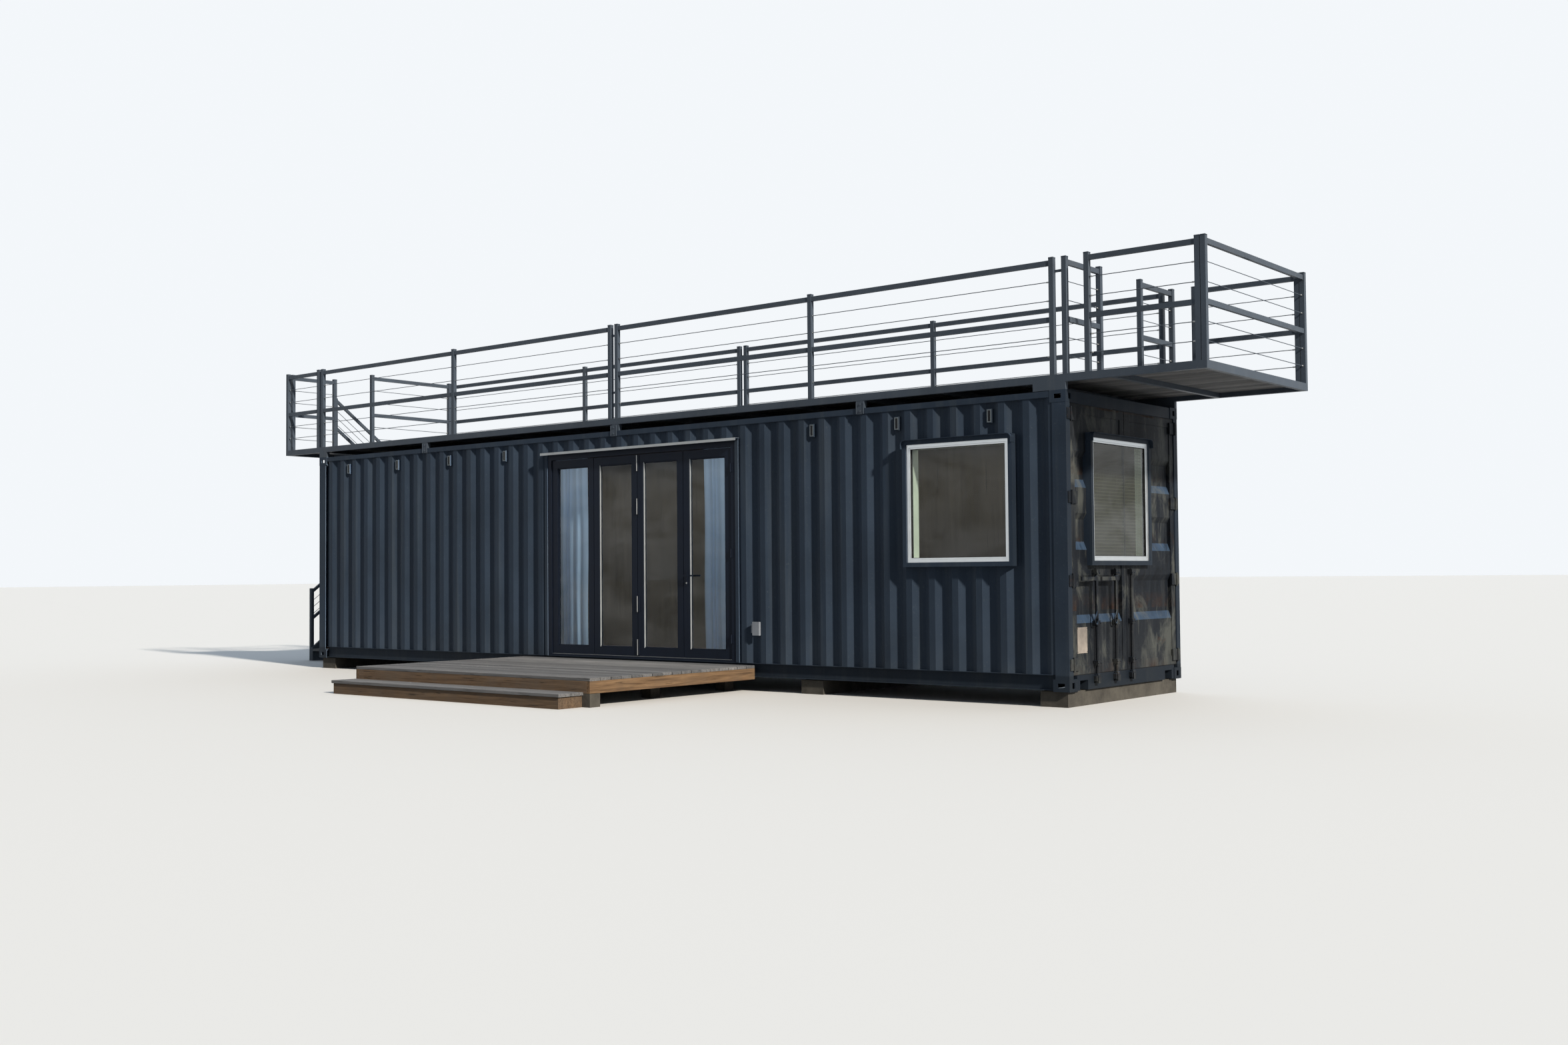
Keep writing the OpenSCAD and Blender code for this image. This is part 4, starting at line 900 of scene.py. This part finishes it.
def leaf_trim(leaf):
    """Glazing beads and the seal of one leaf, counted from 0. Leaf 3 is the entry door."""
    x = LEAF_X + leaf * LEAF_STEP
    body = DOOR if leaf == 3 else CABIN
    x0, x1, z0, z1 = x + STILE, x + LEAF_W - STILE, LEAF_Z0 + RAIL, LEAF_Z1 - RAIL
    # a bead is this wide, and laps this far over the bars
    width, lap = 13, 1
    beads, pale = Shape(), Shape()
    for outside, y0, y1 in ((True, PANE_Y0 - 12, PANE_Y0), (False, PANE_Y1, PANE_Y1 + 14)):
        # on all but the first leaf the left outside bead is pale, a painted highlight of the sun on it, and
        # stands out more
        if leaf and outside:
            pale.box_mm(x0 - lap, x0 + width, y0 - 6, y1, z0, z1)
        else:
            beads.box_mm(x0 - lap, x0 + width, y0, y1, z0, z1)
        beads.box_mm(x1 - width, x1 + lap, y0, y1, z0, z1)
        beads.box_mm(x0 + width, x1 - width, y0, y1, z0 - lap, z0 + width)
        beads.box_mm(x0 + width, x1 - width, y0, y1, z1 - width, z1 + lap)
    beads.make("glazing_beads_%d" % (leaf + 1), "dark_aluminium", body, bevel=0.003)
    if leaf:
        pale.make("painted_lit_bead_%d" % (leaf + 1), "outside_bead", body, bevel=0.003)
        # the seal beside the entry door is narrower, so that the door clears it
        left, right = (x - 7.5, x - 2.5) if body == DOOR else (x - 7, x - 1)
        seal = Shape()
        seal.box_mm(left, right, PANE_Y0 - 10, PANE_Y1 + 10, LEAF_Z0, LEAF_Z1)
        seal.make("leaf_seal_%d" % leaf, "rubber")


def folding_hinges():
    """Pins with five knuckles, and their plates, between the two middle leaves."""
    x, y, feet = LEAF_X + 2 * LEAF_STEP - LEAF_GAP / 2, 13, (202, 714, 1874, 2390)
    height, knuckles, plate = 188, 5, 29
    pins, plates = Shape(), Shape()
    for z in feet:
        pins.rod(at(x, y, z), at(x, y, z + height), 0.0065, 14)
        for k in range(1, knuckles):
            joint = z + height / knuckles * k
            pins.rod(at(x, y, joint - 1), at(x, y, joint + 1), 0.0072, 14)
        for x0 in (x - 5 - plate, x + 5):
            plates.box_mm(x0, x0 + plate, 16, 22.5, z + 4, z + height - 4)
    pins.make("folding_hinge_pins", "zinc")
    plates.make("folding_hinge_plates", "dark_aluminium", bevel=0.0015)


def door_flashing():
    """The bent metal strip on the front edge and the top of the door's surround."""
    (x0, front, _), (x1, _, top) = box_mm("door_surround")
    strip = Shape()
    strip.box_mm(x0 + 0.5, x1 - 0.5, front - 1.5, front - 0.2, top - 29, top)
    strip.box_mm(x0 + 0.5, x1 - 0.5, front - 1.5, 7, top + 0.2, top + 1.6)
    strip.make("door_flashing", "flashing")


def door_track():
    """The metal threshold with its two running ribs."""
    x0, x1, z = LEAF_X - 7, ENTRY_X + LEAF_W + 7, 186
    track = Shape()
    track.box_mm(x0, x1, 16, 78, z, z + 2.5)
    for y in (30, 60):
        track.box_mm(x0, x1, y, y + 4, z + 2.5, z + 5.5)
    track.make("door_track", "zinc", bevel=0.0008)


def door_lock():
    """The lock cylinder under the entry door's lever, with its key slot."""
    x, z = ENTRY_X + STILE / 2, 1055
    lock = Shape()
    lock.rod(at(x, 14, z), at(x, 22, z), 0.011, 16)
    lock.box_mm(x - 1.5, x + 1.5, 12.5, 15, z - 7, z + 7)
    lock.make("door_lock_cylinder", "zinc", DOOR, bevel=0.0008)


for leaf_index in range(4):
    leaf_trim(leaf_index)
folding_hinges()
door_flashing()
door_track()
door_lock()


# Curtains

def gathered(lo, hi, seed, folds, columns, rows):
    """Points and tones of a sheet that fills a box with deep uneven folds, row by row from the top; a lower
    tone is painted shade deeper in a fold.
    """
    draw = random.Random(seed)
    phases = [draw.uniform(-0.5, 0.5) for _ in range(folds + 3)]
    sizes = [draw.uniform(0.45, 1.0) for _ in range(folds + 3)]
    width, depth, height = hi - lo
    points, tones = [], []
    for j in range(rows + 1):
        down = j / rows
        for i in range(columns + 1):
            along = i / columns
            # which fold this is, with the folds spaced unevenly
            fold = along * folds + 0.34 * math.sin(8.2 * along + seed)
            fold += 0.16 * math.sin(17.0 * along + 2 * seed) + 0.5
            whole, rest = int(fold), fold % 1
            phase = phases[whole] * (1 - rest) + phases[whole + 1] * rest
            size = sizes[whole] * (1 - rest) + sizes[whole + 1] * rest
            swing = 0.5 * size * (0.7 + 0.3 * down) * (0.85 + 0.15 * math.sin(3 * phase + 2 * down))
            out = math.sin(2 * math.pi * (fold + 0.12 * phase * down)) * swing
            sway = 0.006 * math.sin(9 * down + 5 * phase)
            points.append((lo.x + width * (0.02 + 0.96 * along) + sway,
                           (lo.y + hi.y) / 2 + out * depth * 0.9,
                           hi.z - height * down * 0.998))
            # the tone is painted shade, lower where the cloth lies deeper in a fold
            tones.append(0.5 - out)
    return points, tones


def curtain(name, lo, hi, seed):
    """A gathered curtain of one sheet of cloth, hung from the rail."""
    folds, rows = 6, 44
    columns = folds * 14
    points, tones = gathered(lo, hi, seed, folds, columns, rows)
    faces = []
    for row in range(0, rows * (columns + 1), columns + 1):
        faces += [(a, a + columns + 1, a + columns + 2, a + 1) for a in range(row, row + columns)]
    mesh = bpy.data.meshes.new(name)
    mesh.from_pydata(points, [], faces)
    mesh.attributes.new("tone", "FLOAT", "POINT").data.foreach_set("value", tones)
    smooth(mesh)
    piece = link(name, mesh, MATERIALS["pale_fabric"])
    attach(piece, CABIN)
    return piece


left_box, right_box = solids_of("curtains")
left_curtain = curtain("curtain_l", *left_box, seed=3)
curtain("curtain_r", *right_box, seed=4)
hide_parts("curtains")


# Stage, light and camera

def studio_floor():
    """A plain pale floor, which throws less light on the object than its colour would."""
    half, thrown, looks = 300, (0.24, 0.24, 0.24, 1), (0.86, 0.85, 0.83, 1)
    mesh = bpy.data.meshes.new("studio_floor")
    corners = [(-half, -half, 0), (half, -half, 0), (half, half, 0), (-half, half, 0)]
    mesh.from_pydata(corners, [], [(0, 1, 2, 3)])
    s = Surface("studio_floor_pale")
    link("studio_floor", mesh, s.shade(s.mix(s.seen(), thrown, looks), 0.9, spec=0.1))


def studio_world():
    """A soft dome, brighter behind the cabin so that the back and the stair end read as well."""
    behind, sky, backdrop = (-0.35, 0.94, 0.0), (0.72, 0.85, 1.0, 1), (0.90, 0.93, 0.96, 1)
    world = bpy.data.worlds.new("studio")
    bpy.context.scene.world = world
    world.use_nodes = True
    w = Nodes(world.node_tree)
    toward = w.vector_math("DOT_PRODUCT", w.add("ShaderNodeTexCoord").outputs["Generated"])
    w.put(toward.inputs[1], behind)
    strength = w.level(toward.outputs["Value"], -0.15, 1.0, 0.19, 1.1)
    dome = w.add("ShaderNodeBackground", Color=sky, Strength=strength)
    plain_back = w.add("ShaderNodeBackground", Color=backdrop, Strength=1.0)
    w.add("ShaderNodeOutputWorld", Surface=w.mix_shaders(w.seen(), dome, plain_back))


def key_sun():
    """Low sun from the right that grazes the front, as in the photo."""
    way = Vector((-0.84, 0.20, -0.50))
    lamp = bpy.data.lights.new("key_sun", "SUN")
    lamp.energy = 4.1
    lamp.angle = math.radians(3.0)
    lamp.color = (1.0, 0.93, 0.83)
    sun = bpy.data.objects.new("key_sun", lamp)
    sun.rotation_mode = "QUATERNION"
    sun.rotation_quaternion = way.to_track_quat("-Z", "Y")
    bpy.context.scene.collection.objects.link(sun)


def room_lamp():
    """A dim wide lamp under the ceiling, so that the room reads behind the glass."""
    middle = at(6100, 1219, 2690)
    lamp = bpy.data.lights.new("room_lamp", "AREA")
    lamp.shape = "RECTANGLE"
    lamp.size = 11.0
    lamp.size_y = 1.6
    lamp.energy = 95
    lamp.color = (1.0, 0.96, 0.90)
    panel = bpy.data.objects.new("room_lamp", lamp)
    panel.location = middle
    bpy.context.scene.collection.objects.link(panel)


def photo_camera():
    """The camera found from the container's corners in the photo."""
    place = at(19442, -13145, 1146)
    yaw, pitch, roll = (math.radians(angle) for angle in (-39.24, 1.916, -0.478))
    ahead = Vector((math.sin(yaw) * math.cos(pitch), math.cos(yaw) * math.cos(pitch), math.sin(pitch)))
    level_right = ahead.cross(Vector((0, 0, 1))).normalized()
    level_up = level_right.cross(ahead)
    right = level_right * math.cos(roll) + level_up * math.sin(roll)
    up = level_up * math.cos(roll) - level_right * math.sin(roll)
    lens = bpy.data.cameras.new("photo_view")
    lens.lens = 35.587
    lens.sensor_width = 36.0
    lens.clip_end = 1000
    camera = bpy.data.objects.new("photo_view", lens)
    turn = Matrix((right, up, -ahead)).transposed().to_4x4()
    camera.matrix_world = Matrix.Translation(place) @ turn
    bpy.context.scene.collection.objects.link(camera)
    bpy.context.scene.camera = camera


studio_floor()
studio_world()
key_sun()
room_lamp()
photo_camera()
bpy.context.scene.view_settings.view_transform = "Standard"
